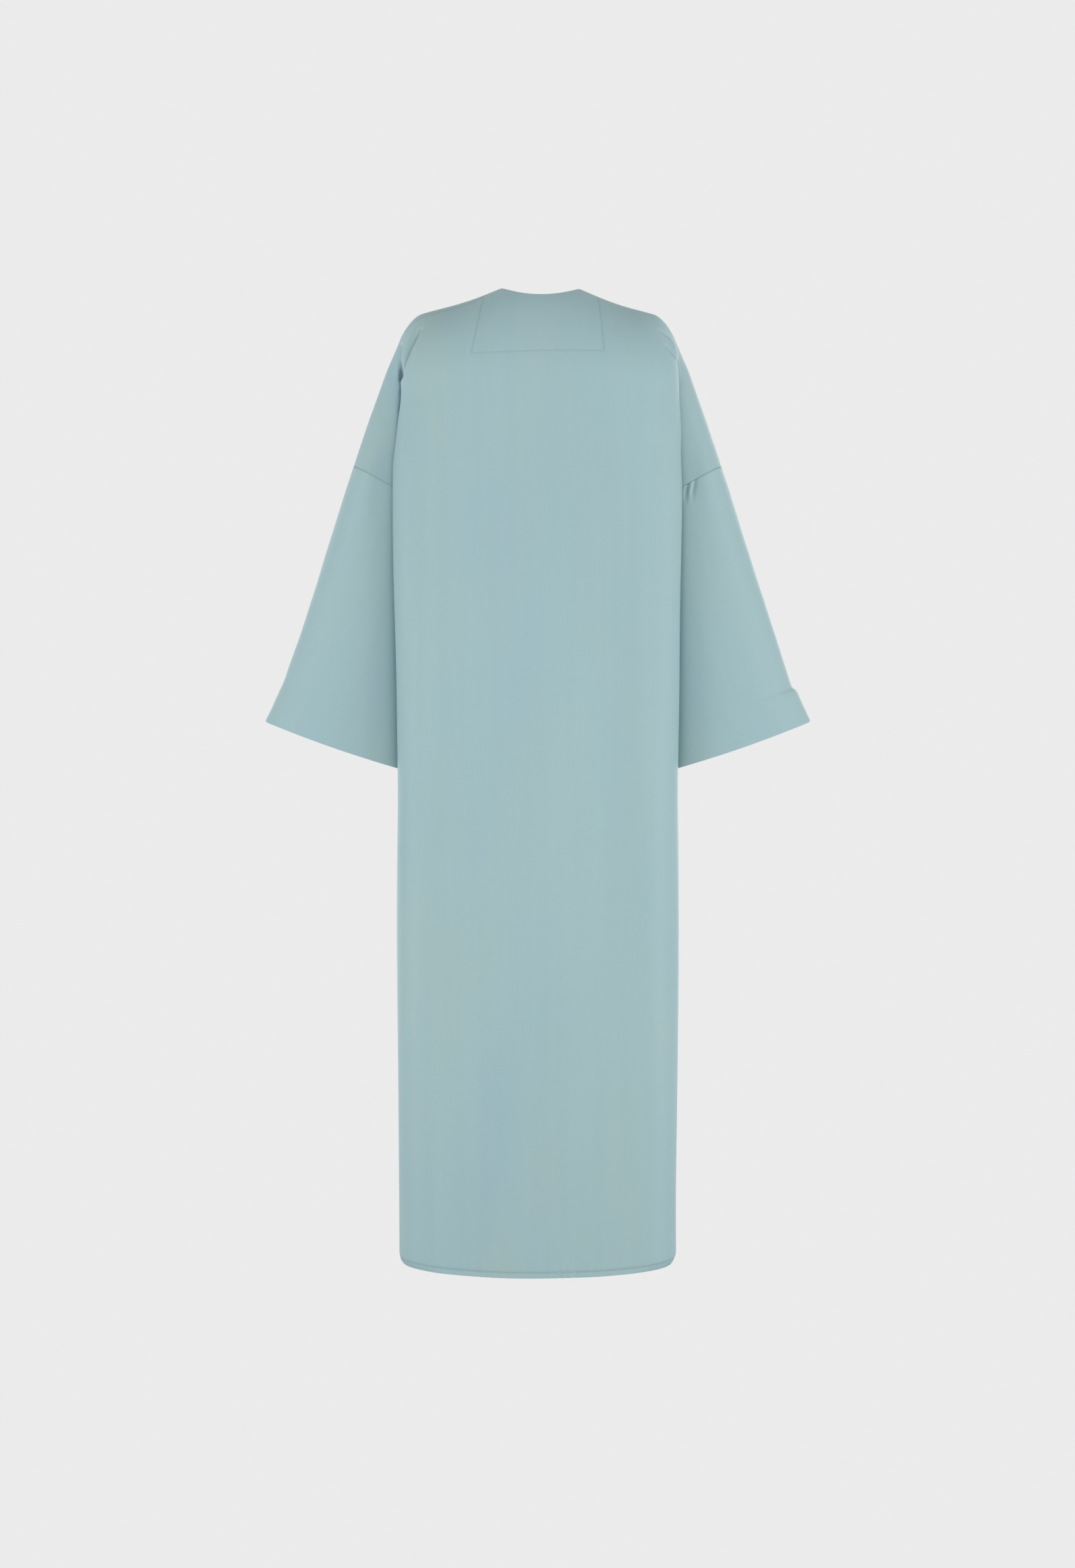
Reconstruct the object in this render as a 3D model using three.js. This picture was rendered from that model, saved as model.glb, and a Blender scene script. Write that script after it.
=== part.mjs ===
// A long, drop-shoulder patient gown, worn with its back to +Y and its front to -Y.
// The cloth is a set of thin shells: a one-piece back, a right front, a left front whose
// lower corner folds open, two wide sleeves, and the facings, hems, tapes and press studs
// that finish them. Millimetres, +Z up. The origin is the middle of the neck, level with
// the two neck points, and the gown hangs below it.

import * as THREE from 'three';
import { mergeVertices } from 'three/addons/utils/BufferGeometryUtils.js';

// ---------------------------------------------------------------- driving dimensions

// Cloth and clearances
const CLOTH = 1.2; // thickness of a main panel, drape included
const TRIM = 0.9; // thickness of facings, hems and tapes
const SEAM_GAP = 0.6; // gap between two pieces that are sewn edge to edge
const LAYER_GAP = 0.4; // gap between two layers that lie on each other

// Neck and shoulders
const NECK_HALF_WIDTH = 59;
const SHOULDER_SLOPE = THREE.MathUtils.degToRad(18.7);
const SHOULDER_HALF_WIDTH = 202; // to the point where the arm line starts
const SHOULDER_ROUNDING = 32; // length over which the shoulder end rounds down
const SHOULDER_TIP_DROP = 22; // extra drop of the rounded end
const SHOULDER_SEAM_SHIFT = 8; // the shoulder seam sits this far behind the ridge
const BACK_NECK_REACH = 0.235; // how far down the shoulder curve the back neck is cut
const FRONT_NECK_DROP = 95;
const YOKE_DEPTH = 150; // below this level the body hangs straight

// Body
const CHEST_EASE = 9; // how much wider than the shoulders the body's fold edge is at the chest
const CHEST_LEVEL = 320;
const HIP_EASE = 3;
const HIP_LEVEL = 760;
const HEM_EASE = -1;
const GOWN_LENGTH = 1444;
const BACK_DEPTH = 112; // centre plane to the back sheet
const RIGHT_FRONT_DEPTH = 110; // centre plane to the right front, which lies inside
const SIDE_CORNER_WIDTH = 60; // the sheets curve round over this width at each side
const SIDE_FOLD_DEPTH = 62; // depth of the fold edges that stand behind and before the arm
const SLEEVE_CLEARANCE = 6; // between a sleeve and the side of the body
const LOW_SIDE_TUCK = 5; // hollow of the side below the sleeves

// Sleeves
const SLEEVE_LENGTH = 605; // from the shoulder end to the cuff, along the fold
const CUFF_WIDTH = 213;
const SLEEVE_INSET = 2; // the inner edge hangs upright, this far inside the shoulder's end
const DROP_SHOULDER = 206.5; // from the shoulder end to the armhole seam
const ARMHOLE_SLOPE = THREE.MathUtils.degToRad(30);
const ARM_HALF_DEPTH = 55;
const CUFF_HALF_DEPTH = 46;
const CUFF_HEM = 55;

// Front opening
const OVERLAP_HALF = 30; // each front passes the centre line by this much
const FOLD_LINE_INSET = 4; // the fold line meets the hem this far inside the rounded corner
const FACING_WIDTH = 58;
const FLAP_START = 20; // the folding corner starts this far below the head of its fold line

// Back neck facing, hems, tapes and label
const FACING_TOP_HALF = 83;
const FACING_FOOT_HALF = 96;
const FACING_REACH = 0.68; // how far down the shoulder curve the back neck facing comes
const HEM_DEPTH = 9;
const TAPE_WIDTH = 12;
const TAPE_DROP = 2.4; // the shoulder tape lies this far below the shoulder line
const TAPE_END_GAP = 5.2; // the shoulder tape stops this far short of the shoulder's rounded end
const LABEL_HALF_WIDTH = 22;
const LABEL_TOP_LEVEL = 34;
const LABEL_FOOT_LEVEL = 62;

// Press studs
const STUD_COUNT = 6;
const STUD_TOP_LEVEL = 112;
const STUD_PITCH = 190;
const CAP_RADIUS = 6.5;
const CAP_TOP_RADIUS = 4.7;
const CAP_HEIGHT = 1.5;
const CAP_EDGE_HEIGHT = 0.5;
const SOCKET_RADIUS = 5.5;
const SOCKET_HEIGHT = 1.9;
const SOCKET_BORE_RADIUS = 2.7;
const SOCKET_TO_BASE = 0.6; // gap between a closed stud's two halves
const NUB_RADIUS = 1.9;
const NUB_ENGAGEMENT = 1.2; // how far the nub stands into the socket
const BASE_HEIGHT = 1.2;
const POST_RADIUS = 5.5;
const POST_BORE_RADIUS = 2.2;

// ---------------------------------------------------------------- worked-out values

const CHEST_HALF_WIDTH = SHOULDER_HALF_WIDTH + CHEST_EASE;
const HIP_HALF_WIDTH = SHOULDER_HALF_WIDTH + HIP_EASE;
const HEM_HALF_WIDTH = SHOULDER_HALF_WIDTH + HEM_EASE;
const SLEEVE_INNER_X = SHOULDER_HALF_WIDTH - SLEEVE_INSET;
const FOLD_LINE_FOOT_X = HEM_HALF_WIDTH - SIDE_CORNER_WIDTH - FOLD_LINE_INSET;
const TRIM_INSET = CLOTH / 2 + LAYER_GAP + TRIM / 2; // from a panel's middle to a trim's middle
const STUD_STACK = LAYER_GAP + BASE_HEIGHT + SOCKET_TO_BASE + SOCKET_HEIGHT + LAYER_GAP;
const LEFT_FRONT_DEPTH = RIGHT_FRONT_DEPTH + CLOTH + STUD_STACK + TRIM + LAYER_GAP;
const SHOULDER_END = new THREE.Vector2(
  SHOULDER_HALF_WIDTH,
  -(SHOULDER_HALF_WIDTH - NECK_HALF_WIDTH) * Math.tan(SHOULDER_SLOPE) - SHOULDER_TIP_DROP,
);
const SLEEVE_ANGLE =
  Math.asin((SLEEVE_INNER_X - SHOULDER_END.x) / Math.hypot(SLEEVE_LENGTH, CUFF_WIDTH)) +
  Math.atan2(CUFF_WIDTH, SLEEVE_LENGTH);
const ALONG = new THREE.Vector2(Math.sin(SLEEVE_ANGLE), -Math.cos(SLEEVE_ANGLE));
const ACROSS = new THREE.Vector2(-Math.cos(SLEEVE_ANGLE), -Math.sin(SLEEVE_ANGLE));
const SEAM_TILT = ARMHOLE_SLOPE - SLEEVE_ANGLE;
const FACING_EDGE = FACING_WIDTH - OVERLAP_HALF; // x of a front facing's inner edge

const lerp = THREE.MathUtils.lerp;
const clamp = THREE.MathUtils.clamp;
const smooth = (t) => THREE.MathUtils.smoothstep(t, 0, 1);

/** A number of even steps from a to b, both ends included. */
function steps(a, b, count) {
  return Array.from({ length: count + 1 }, (_, i) => lerp(a, b, i / count));
}

// ---------------------------------------------------------------- the gown's surfaces

/** Half width of the body's fold edge at a level below the neck. */
function edgeHalfWidth(level) {
  const toChest = smooth((level - YOKE_DEPTH) / (CHEST_LEVEL - YOKE_DEPTH));
  const toHip = smooth((level - CHEST_LEVEL) / (HIP_LEVEL - CHEST_LEVEL));
  const toHem = smooth((level - HIP_LEVEL) / (GOWN_LENGTH - HIP_LEVEL));
  return (
    SHOULDER_HALF_WIDTH +
    (CHEST_HALF_WIDTH - SHOULDER_HALF_WIDTH) * toChest +
    (HIP_HALF_WIDTH - CHEST_HALF_WIDTH) * toHip +
    (HEM_HALF_WIDTH - HIP_HALF_WIDTH) * toHem
  );
}

/** Height of the shoulder line at x, carried on towards the middle over the neck. */
function shoulderZ(x) {
  const out = Math.abs(x);
  const rounding = Math.max(0, (out - SHOULDER_HALF_WIDTH) / SHOULDER_ROUNDING + 1);
  return -(out - NECK_HALF_WIDTH) * Math.tan(SHOULDER_SLOPE) - SHOULDER_TIP_DROP * rounding ** 2;
}

/** y of the shoulder seam: behind the ridge near the neck, on it at the shoulder's end. */
function shoulderSeamY(x) {
  const run = SHOULDER_HALF_WIDTH - SHOULDER_ROUNDING;
  return SHOULDER_SEAM_SHIFT * (1 - smooth((Math.abs(x) - run) / SHOULDER_ROUNDING));
}

/** How deep a sheet stands from the centre plane at x, on a section with that fold edge. */
function sheetDepth(x, edge, depth) {
  const into = clamp((Math.abs(x) - edge + SIDE_CORNER_WIDTH) / SIDE_CORNER_WIDTH, 0, 1);
  return SIDE_FOLD_DEPTH + (depth - SIDE_FOLD_DEPTH) * Math.sqrt(1 - into ** 2);
}

/** A point of the body's sheet. face is +1 for the back, -1 for a front. */
function sheetPoint(face, depth, fullAt, x, z) {
  const top = shoulderZ(x);
  const down = clamp((top - z) / (top + YOKE_DEPTH) / fullAt, 0, 1);
  const seamY = shoulderSeamY(x) + (face * SEAM_GAP) / 2;
  const full = face * sheetDepth(x, edgeHalfWidth(-z), depth);
  const y = lerp(seamY, full, Math.sqrt(1 - (1 - down) ** 2));
  return new THREE.Vector3(x, y, z);
}

/** A point on the side of the body, from the fold edge (t = 0) to the side seam (t = 1). */
function sidePoint(face, x, t, z) {
  const level = -z;
  const edge = edgeHalfWidth(level);
  const besideSleeve = edge - SLEEVE_INNER_X + SLEEVE_CLEARANCE;
  const below = smooth((level - cuffInnerLevel) / (CUFF_WIDTH * 1.2));
  const tuck = lerp(besideSleeve, LOW_SIDE_TUCK, below);
  const depth = lerp(SIDE_FOLD_DEPTH, SEAM_GAP / 2, t);
  const hollow = tuck * (1 - (depth / SIDE_FOLD_DEPTH) ** 4);
  return new THREE.Vector3(Math.sign(x) * (edge - hollow), face * depth, z);
}

/** A place on the arm, in x and z: s along the upper fold, w in from it. */
function armPlace(s, w) {
  return SHOULDER_END.clone().addScaledVector(ALONG, s).addScaledVector(ACROSS, w);
}

/** Flat width of the sleeve at s: its inner edge hangs upright. */
function sleeveWidth(s) {
  return (SHOULDER_END.x + s * ALONG.x - SLEEVE_INNER_X) / -ACROSS.x;
}

/** Half depth of the arm at s. */
function armHalfDepth(s) {
  const swell = ARM_HALF_DEPTH * (1 - Math.exp(-s / 40));
  const toCuff = clamp((s - DROP_SHOULDER) / (SLEEVE_LENGTH - DROP_SHOULDER), 0, 1);
  return lerp(swell, CUFF_HALF_DEPTH, smooth(toCuff));
}

const armholeTop = armPlace(DROP_SHOULDER, 0);
const armholeRootX = edgeHalfWidth(CHEST_LEVEL);
const armholeRootLevel = -armholeTop.y + (armholeTop.x - armholeRootX) * Math.tan(ARMHOLE_SLOPE);
const cuffInnerLevel = -armPlace(SLEEVE_LENGTH, CUFF_WIDTH).y;

/** A point of the dropped shoulder, from the arm's fold (q = 0) to the body's edge (q = 1). */
function dropPoint(face, side, s, rootLevel, q) {
  const fold = armPlace(s, 0);
  const root = new THREE.Vector2(edgeHalfWidth(rootLevel), -rootLevel);
  const place = fold.clone().lerp(root, q);
  const half = sleeveWidth(s) / 2;
  const w = fold.distanceTo(place);
  const lobe = Math.sqrt(1 - (1 - q) ** 2);
  const tube = Math.sqrt(Math.max(0, 1 - ((w - half) / half) ** 2));
  const share = (s / DROP_SHOULDER) ** 2;
  const y = face * (SEAM_GAP / 2 + armHalfDepth(s) * lerp(lobe, tube, share));
  return new THREE.Vector3(side * place.x, y, place.y);
}

/** A point of a sleeve: s along the fold, turn from 0 at the fold round through the back. */
function sleevePoint(side, s, turn) {
  const place = armPlace(s, (sleeveWidth(s) / 2) * (1 - Math.cos(turn)));
  return new THREE.Vector3(side * place.x, armHalfDepth(s) * Math.sin(turn), place.y);
}

/** s where the armhole seam crosses the sleeve at that turn. */
function armholeSeam(turn) {
  return DROP_SHOULDER + (sleeveWidth(DROP_SHOULDER) / 2) * (1 - Math.cos(turn)) * Math.tan(SEAM_TILT);
}

// ---------------------------------------------------------------- from surfaces to solids

/** An open surface as quads over grids of points. Equal points are shared. */
class Cloth {
  constructor() {
    this.points = [];
    this.triangles = [];
    this.known = new Map();
  }

  index(point) {
    const key = point.toArray().map((n) => Math.round(n * 1000)).join();
    if (!this.known.has(key)) {
      this.known.set(key, this.points.length);
      this.points.push(point);
    }
    return this.known.get(key);
  }

  /** Adds the faces of a grid of rows. flip turns their outer side round. */
  addGrid(rows, flip = false) {
    const ids = rows.map((row) => row.map((point) => this.index(point)));
    for (let i = 0; i + 1 < ids.length; i += 1) {
      for (let j = 0; j + 1 < ids[i].length; j += 1) {
        const [a, b] = [ids[i][j], ids[i][j + 1]];
        const [c, d] = [ids[i + 1][j + 1], ids[i + 1][j]];
        this.addTriangle(a, b, c, flip);
        this.addTriangle(a, c, d, flip);
      }
    }
    return this;
  }

  addTriangle(a, b, c, flip) {
    if (a !== b && b !== c && a !== c) {
      this.triangles.push(flip ? [a, c, b] : [a, b, c]);
    }
  }

  /** The surface's normals at its points. */
  normals() {
    const sums = this.points.map(() => new THREE.Vector3());
    for (const triangle of this.triangles) {
      const [a, b, c] = triangle.map((i) => this.points[i]);
      const edge = b.clone().sub(a);
      const face = edge.cross(c.clone().sub(a));
      triangle.forEach((i) => sums[i].add(face));
    }
    return sums.map((sum) => sum.normalize());
  }

  /** The closed solid of the surface, half its thickness to each side, moved in by inset. */
  solid(thickness, inset = 0) {
    const normals = this.normals();
    const shifted = (distance) =>
      this.points.map((point, i) => point.clone().addScaledVector(normals[i], distance));
    const outer = shifted(thickness / 2 - inset);
    const inner = shifted(-thickness / 2 - inset);
    const faces = [];
    const directed = new Set();
    for (const [a, b, c] of this.triangles) {
      faces.push([outer[a], outer[b], outer[c]], [inner[a], inner[c], inner[b]]);
      [[a, b], [b, c], [c, a]].forEach((edge) => directed.add(edge.join()));
    }
    for (const edge of directed) {
      const [a, b] = edge.split(',').map(Number);
      if (!directed.has(`${b},${a}`)) {
        faces.push([outer[b], outer[a], inner[a]], [outer[b], inner[a], inner[b]]);
      }
    }
    const geometry = new THREE.BufferGeometry();
    const corners = faces.flat().flatMap((point) => point.toArray());
    geometry.setAttribute('position', new THREE.Float32BufferAttribute(corners, 3));
    return mergeVertices(geometry, 1e-4);
  }
}

const UPPER_ROWS = [0, 0.05, 0.15, 0.3, 0.5, FACING_REACH];
const CORNER_STEPS = 4;
const LOBE_STEPS = 4;
const SIDE_STEPS = [0, 0.2, 0.5, 1];

/** Levels of the straight part of the body, from the yoke to the hem. */
function bodyLevels() {
  return [
    ...steps(YOKE_DEPTH, armholeRootLevel, 3),
    ...steps(armholeRootLevel, cuffInnerLevel, 4).slice(1),
    ...steps(cuffInnerLevel, GOWN_LENGTH, 6).slice(1),
  ];
}

/** x of the columns between an inner line and the fold edge, closer together at the corner. */
function columnsTo(edge, innerX, flatColumns) {
  const flatEnd = edge - SIDE_CORNER_WIDTH;
  const flat = flatColumns.map((share) => lerp(innerX, flatEnd, share));
  const corner = steps(0, Math.PI / 2, CORNER_STEPS).slice(1);
  return [...flat, ...corner.map((angle) => flatEnd + SIDE_CORNER_WIDTH * Math.sin(angle))];
}

/**
 * One half of a body panel, on the side of x given by side: the sheet from its inner line
 * to the fold edge, the dropped shoulder above the armhole and the side below it.
 */
function addHalfPanel(cloth, { face, side, depth, fullAt, neckZ, innerX, flatColumns }) {
  const flip = face * side < 0;
  const sheet = [];
  const sheetRow = (level) => {
    const columns = columnsTo(edgeHalfWidth(level), innerX(level), flatColumns);
    return columns.map((x) => sheetPoint(face, depth, fullAt, side * x, -level));
  };
  const yokeColumns = columnsTo(SHOULDER_HALF_WIDTH, innerX(0), flatColumns);
  for (const row of UPPER_ROWS) {
    sheet.push(
      yokeColumns.map((x) => {
        const top = Math.abs(x) < NECK_HALF_WIDTH ? neckZ(x) : shoulderZ(x);
        return sheetPoint(face, depth, fullAt, side * x, lerp(top, -YOKE_DEPTH, row));
      }),
    );
  }
  const levels = bodyLevels();
  levels.forEach((level) => sheet.push(sheetRow(level)));
  cloth.addGrid(sheet, flip);

  const edgePoints = sheet.map((row) => row[row.length - 1]);
  const armholeRow = UPPER_ROWS.length + levels.indexOf(levels.find((l) => l >= armholeRootLevel - 1e-6));
  const lobeRows = edgePoints.slice(0, armholeRow + 1).map((edgePoint, i) => {
    const s = (DROP_SHOULDER * i) / armholeRow;
    const qs = steps(0, 1, LOBE_STEPS).map((t) => 1 - (1 - t) ** 2);
    const row = qs.map((q) => dropPoint(face, side, s, -edgePoint.z, q)).reverse();
    return i === 0 ? [edgePoint, ...row.map(() => edgePoint)] : [edgePoint, ...row];
  });
  cloth.addGrid(lobeRows, flip);

  const sideRows = edgePoints.slice(armholeRow).map((edgePoint) => [
    edgePoint,
    ...SIDE_STEPS.slice(1).map((t) => sidePoint(face, side, t, edgePoint.z)),
  ]);
  cloth.addGrid(sideRows, flip);
}

// ---------------------------------------------------------------- materials

const finish = (color, roughness, metalness = 0) => ({ color, roughness, metalness });
const FABRIC = finish(0xa2bfc1, 0.62);
const FABRIC_INSIDE = finish(0x9ab9bc, 0.7);
const TAPE = finish(0x9dbbbd, 0.75);
const LABEL = finish(0xf2f2ee, 0.6);
const RESIN = finish(0x9cb9bc, 0.35);
const STEEL = finish(0xc4c8ca, 0.3, 1);

const gown = new THREE.Group();

/** Adds a named part with a material of its own. */
function addPart(name, geometry, look, parent = gown) {
  geometry.deleteAttribute('normal');
  geometry.deleteAttribute('uv');
  const mesh = new THREE.Mesh(geometry, new THREE.MeshStandardMaterial(look));
  mesh.name = name;
  parent.add(mesh);
  return mesh;
}

// ---------------------------------------------------------------- body panels

const NECK_COLUMNS = [0, 0.35, 0.7, 1];
const neckShare = NECK_HALF_WIDTH / (SHOULDER_HALF_WIDTH - SIDE_CORNER_WIDTH);
const BACK_COLUMNS = [...NECK_COLUMNS.map((t) => t * neckShare), lerp(neckShare, 1, 0.5), 1];

/** Height of the back neckline at x. */
function backNeckZ(x) {
  const reach = BACK_NECK_REACH * (1 - (x / NECK_HALF_WIDTH) ** 2);
  return lerp(shoulderZ(x), -YOKE_DEPTH, reach);
}

/** Height of the front neckline at x. */
function frontNeckZ(x) {
  const reach = (shoulderZ(0) + FRONT_NECK_DROP) / (shoulderZ(0) + YOKE_DEPTH);
  return lerp(shoulderZ(x), -YOKE_DEPTH, reach * (1 - Math.abs(x / NECK_HALF_WIDTH) ** 1.6));
}

const BACK = { face: 1, depth: BACK_DEPTH, fullAt: 1 };
const RIGHT_FRONT = { face: -1, depth: RIGHT_FRONT_DEPTH, fullAt: 0.7 };
const LEFT_FRONT = { face: -1, depth: LEFT_FRONT_DEPTH, fullAt: 0.7 };

function backPanel() {
  const cloth = new Cloth();
  for (const side of [1, -1]) {
    addHalfPanel(cloth, { ...BACK, side, neckZ: backNeckZ, innerX: () => 0, flatColumns: BACK_COLUMNS });
  }
  return cloth.solid(CLOTH);
}

/** x of the left front's fold line at a level: it runs from the front edge out to the hem. */
function foldLineX(level) {
  const down = (level - YOKE_DEPTH) / (GOWN_LENGTH - YOKE_DEPTH);
  return lerp(-OVERLAP_HALF, FOLD_LINE_FOOT_X, clamp(down, 0, 1));
}

/** Shares of the flat width that put columns on the front's edge, centre, facing and neck point. */
function frontColumns() {
  const flatEnd = SHOULDER_HALF_WIDTH - SIDE_CORNER_WIDTH;
  const places = [-OVERLAP_HALF, 0, FACING_EDGE, NECK_HALF_WIDTH, (NECK_HALF_WIDTH + flatEnd) / 2, flatEnd];
  return places.map((x) => (x + OVERLAP_HALF) / (flatEnd + OVERLAP_HALF));
}

function rightFrontPanel() {
  const cloth = new Cloth();
  const innerX = () => -OVERLAP_HALF;
  addHalfPanel(cloth, { ...RIGHT_FRONT, side: -1, neckZ: frontNeckZ, innerX, flatColumns: frontColumns() });
  return cloth.solid(CLOTH);
}

function leftFrontPanel() {
  const cloth = new Cloth();
  const innerX = (level) => foldLineX(level) + (level > YOKE_DEPTH ? SEAM_GAP : 0);
  addHalfPanel(cloth, { ...LEFT_FRONT, side: 1, neckZ: frontNeckZ, innerX, flatColumns: frontColumns() });
  return cloth.solid(CLOTH);
}

/** A flat plate across a front, from a list of [x, level] corners, between two depths. */
function frontPlate(corners, nearDepth, farDepth) {
  const shape = new THREE.Shape(corners.map(([x, level]) => new THREE.Vector2(x, -level)));
  const plate = new THREE.ExtrudeGeometry(shape, { depth: farDepth - nearDepth, bevelEnabled: false });
  plate.rotateX(Math.PI / 2);
  plate.translate(0, -nearDepth, 0);
  return plate;
}

/** The lower corner of the left front, which folds open about the fold line. */
function leftFrontFlap() {
  const head = YOKE_DEPTH + FLAP_START;
  return frontPlate(
    [
      [-OVERLAP_HALF, GOWN_LENGTH],
      [foldLineX(GOWN_LENGTH) - SEAM_GAP, GOWN_LENGTH],
      [foldLineX(head) - SEAM_GAP, head],
      [-OVERLAP_HALF, head],
    ],
    LEFT_FRONT_DEPTH - CLOTH / 2,
    LEFT_FRONT_DEPTH + CLOTH / 2,
  );
}

addPart('back_panel', backPanel(), FABRIC);
addPart('right_front_panel', rightFrontPanel(), FABRIC);
addPart('left_front_panel', leftFrontPanel(), FABRIC);
addPart('left_front_flap', leftFrontFlap(), FABRIC);

// ---------------------------------------------------------------- sleeves and cuff hems

const SLEEVE_ROWS = 7;
const SLEEVE_TURNS = 20;

/** A ring-shaped shell of a sleeve, from one line across it to another. */
function sleeveTube(side, start, end, rows, thickness, inset) {
  const turns = steps(0, Math.PI * 2, SLEEVE_TURNS);
  const grid = steps(0, 1, rows).map((t) =>
    turns.map((turn) => sleevePoint(side, lerp(start(turn), end, t), turn)),
  );
  return new Cloth().addGrid(grid, side > 0).solid(thickness, inset);
}

for (const [side, name] of [[1, 'left'], [-1, 'right']]) {
  const seam = (turn) => armholeSeam(turn) + SEAM_GAP + CLOTH;
  const hemTop = () => SLEEVE_LENGTH - CUFF_HEM;
  const hemFoot = SLEEVE_LENGTH - LAYER_GAP;
  addPart(`${name}_sleeve`, sleeveTube(side, seam, SLEEVE_LENGTH, SLEEVE_ROWS, CLOTH, 0), FABRIC);
  addPart(`${name}_cuff_hem`, sleeveTube(side, hemTop, hemFoot, 1, TRIM, TRIM_INSET), FABRIC_INSIDE);
}

// ---------------------------------------------------------------- facings

const EDGE_SETBACK = 1; // facings and hems stop short of a raw edge by this much

/** The upper, curved part of a front facing and the flat part below it, as one strip. */
function frontFacing(panel, side, innerX, levels) {
  const across = (level) => {
    const inner = innerX(level);
    return [inner, inner < 0 ? 0 : (inner + FACING_EDGE) / 2, FACING_EDGE];
  };
  const upper = UPPER_ROWS.map((row) =>
    across(0).map((x) => {
      const z = lerp(frontNeckZ(x), -YOKE_DEPTH, row);
      return sheetPoint(panel.face, panel.depth, panel.fullAt, side * x, z);
    }),
  );
  const lower = levels.map((level) =>
    across(level).map((x) => sheetPoint(panel.face, panel.depth, panel.fullAt, side * x, -level)),
  );
  return new Cloth().addGrid([...upper, ...lower], side > 0).solid(TRIM, TRIM_INSET);
}

const frontEdge = () => -OVERLAP_HALF;
const foldLineRun = (GOWN_LENGTH - YOKE_DEPTH) / (FOLD_LINE_FOOT_X + OVERLAP_HALF);
const facingEnd = YOKE_DEPTH + foldLineRun * FACING_WIDTH;
const leftFacingInner = (level) => foldLineX(level) + (level < YOKE_DEPTH ? 0 : SEAM_GAP + EDGE_SETBACK);
const leftFacingLevels = steps(YOKE_DEPTH, facingEnd - FLAP_START, 3);
const rightFacingLevels = [YOKE_DEPTH, GOWN_LENGTH - EDGE_SETBACK];

/** The facing of the folding corner: it ends at the fold line. */
function flapFacing() {
  const head = YOKE_DEPTH + 2 * FLAP_START;
  const corners = [
    [frontEdge(), GOWN_LENGTH - EDGE_SETBACK],
    [FACING_EDGE, GOWN_LENGTH - EDGE_SETBACK],
    [FACING_EDGE, facingEnd + FLAP_START],
    [foldLineX(head) - SEAM_GAP - EDGE_SETBACK, head],
    [frontEdge(), head],
  ];
  const middle = LEFT_FRONT_DEPTH - TRIM_INSET;
  return frontPlate(corners, middle - TRIM / 2, middle + TRIM / 2);
}

/** The facing inside the back neck: a plain panel, wider at its foot, down to its topstitch. */
function backNeckFacing() {
  const cloth = new Cloth();
  const rows = UPPER_ROWS.slice(0, UPPER_ROWS.indexOf(FACING_REACH) + 1);
  for (const side of [1, -1]) {
    const grid = rows.map((row) => {
      const end = lerp(FACING_TOP_HALF, FACING_FOOT_HALF, row / FACING_REACH);
      return [...NECK_COLUMNS.map((t) => t * NECK_HALF_WIDTH), end].map((x) => {
        const top = x < NECK_HALF_WIDTH ? backNeckZ(x) : shoulderZ(x);
        return sheetPoint(BACK.face, BACK.depth, BACK.fullAt, side * x, lerp(top, -YOKE_DEPTH, row));
      });
    });
    cloth.addGrid(grid, side < 0);
  }
  return cloth.solid(TRIM, TRIM_INSET);
}

/** The blank care label on the back neck facing. */
function careLabel() {
  const inset = TRIM_INSET + TRIM + 2 * LAYER_GAP;
  const rows = steps(LABEL_TOP_LEVEL, LABEL_FOOT_LEVEL, 3).map((level) =>
    steps(-LABEL_HALF_WIDTH, LABEL_HALF_WIDTH, 2).map((x) =>
      sheetPoint(BACK.face, BACK.depth, BACK.fullAt, x, -level),
    ),
  );
  return new Cloth().addGrid(rows).solid(TRIM / 2, inset);
}

addPart('back_neck_facing', backNeckFacing(), FABRIC_INSIDE);
const rightFacing = frontFacing(RIGHT_FRONT, -1, frontEdge, rightFacingLevels);
const leftFacing = frontFacing(LEFT_FRONT, 1, leftFacingInner, leftFacingLevels);
addPart('right_front_facing', rightFacing, FABRIC_INSIDE);
addPart('left_front_facing', leftFacing, FABRIC_INSIDE);
addPart('left_flap_facing', flapFacing(), FABRIC_INSIDE);
addPart('care_label', careLabel(), LABEL);

// ---------------------------------------------------------------- hems and shoulder tapes

/** The turned-up hem inside a panel's lower edge, on the sides of x given. */
function hemBand({ face, depth, fullAt }, sides, innerX) {
  const cloth = new Cloth();
  const levels = [GOWN_LENGTH - HEM_DEPTH, GOWN_LENGTH - LAYER_GAP];
  for (const side of sides) {
    const rows = levels.map((level) => {
      const sheet = columnsTo(edgeHalfWidth(level), innerX, [0, 1]);
      return [
        ...sheet.map((x) => sheetPoint(face, depth, fullAt, side * x, -level)),
        ...SIDE_STEPS.slice(1).map((t) => sidePoint(face, side, t, -level)),
      ];
    });
    cloth.addGrid(rows, face * side < 0);
  }
  return cloth.solid(TRIM, TRIM_INSET);
}

/** The hem of the folding corner. */
function flapHem() {
  const [left, right] = [FACING_EDGE + EDGE_SETBACK, FOLD_LINE_FOOT_X - HEM_DEPTH];
  const corners = [[left, GOWN_LENGTH - LAYER_GAP], [right, GOWN_LENGTH - LAYER_GAP]];
  corners.push([right, GOWN_LENGTH - HEM_DEPTH], [left, GOWN_LENGTH - HEM_DEPTH]);
  const middle = LEFT_FRONT_DEPTH - TRIM_INSET;
  return frontPlate(corners, middle - TRIM / 2, middle + TRIM / 2);
}

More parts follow.
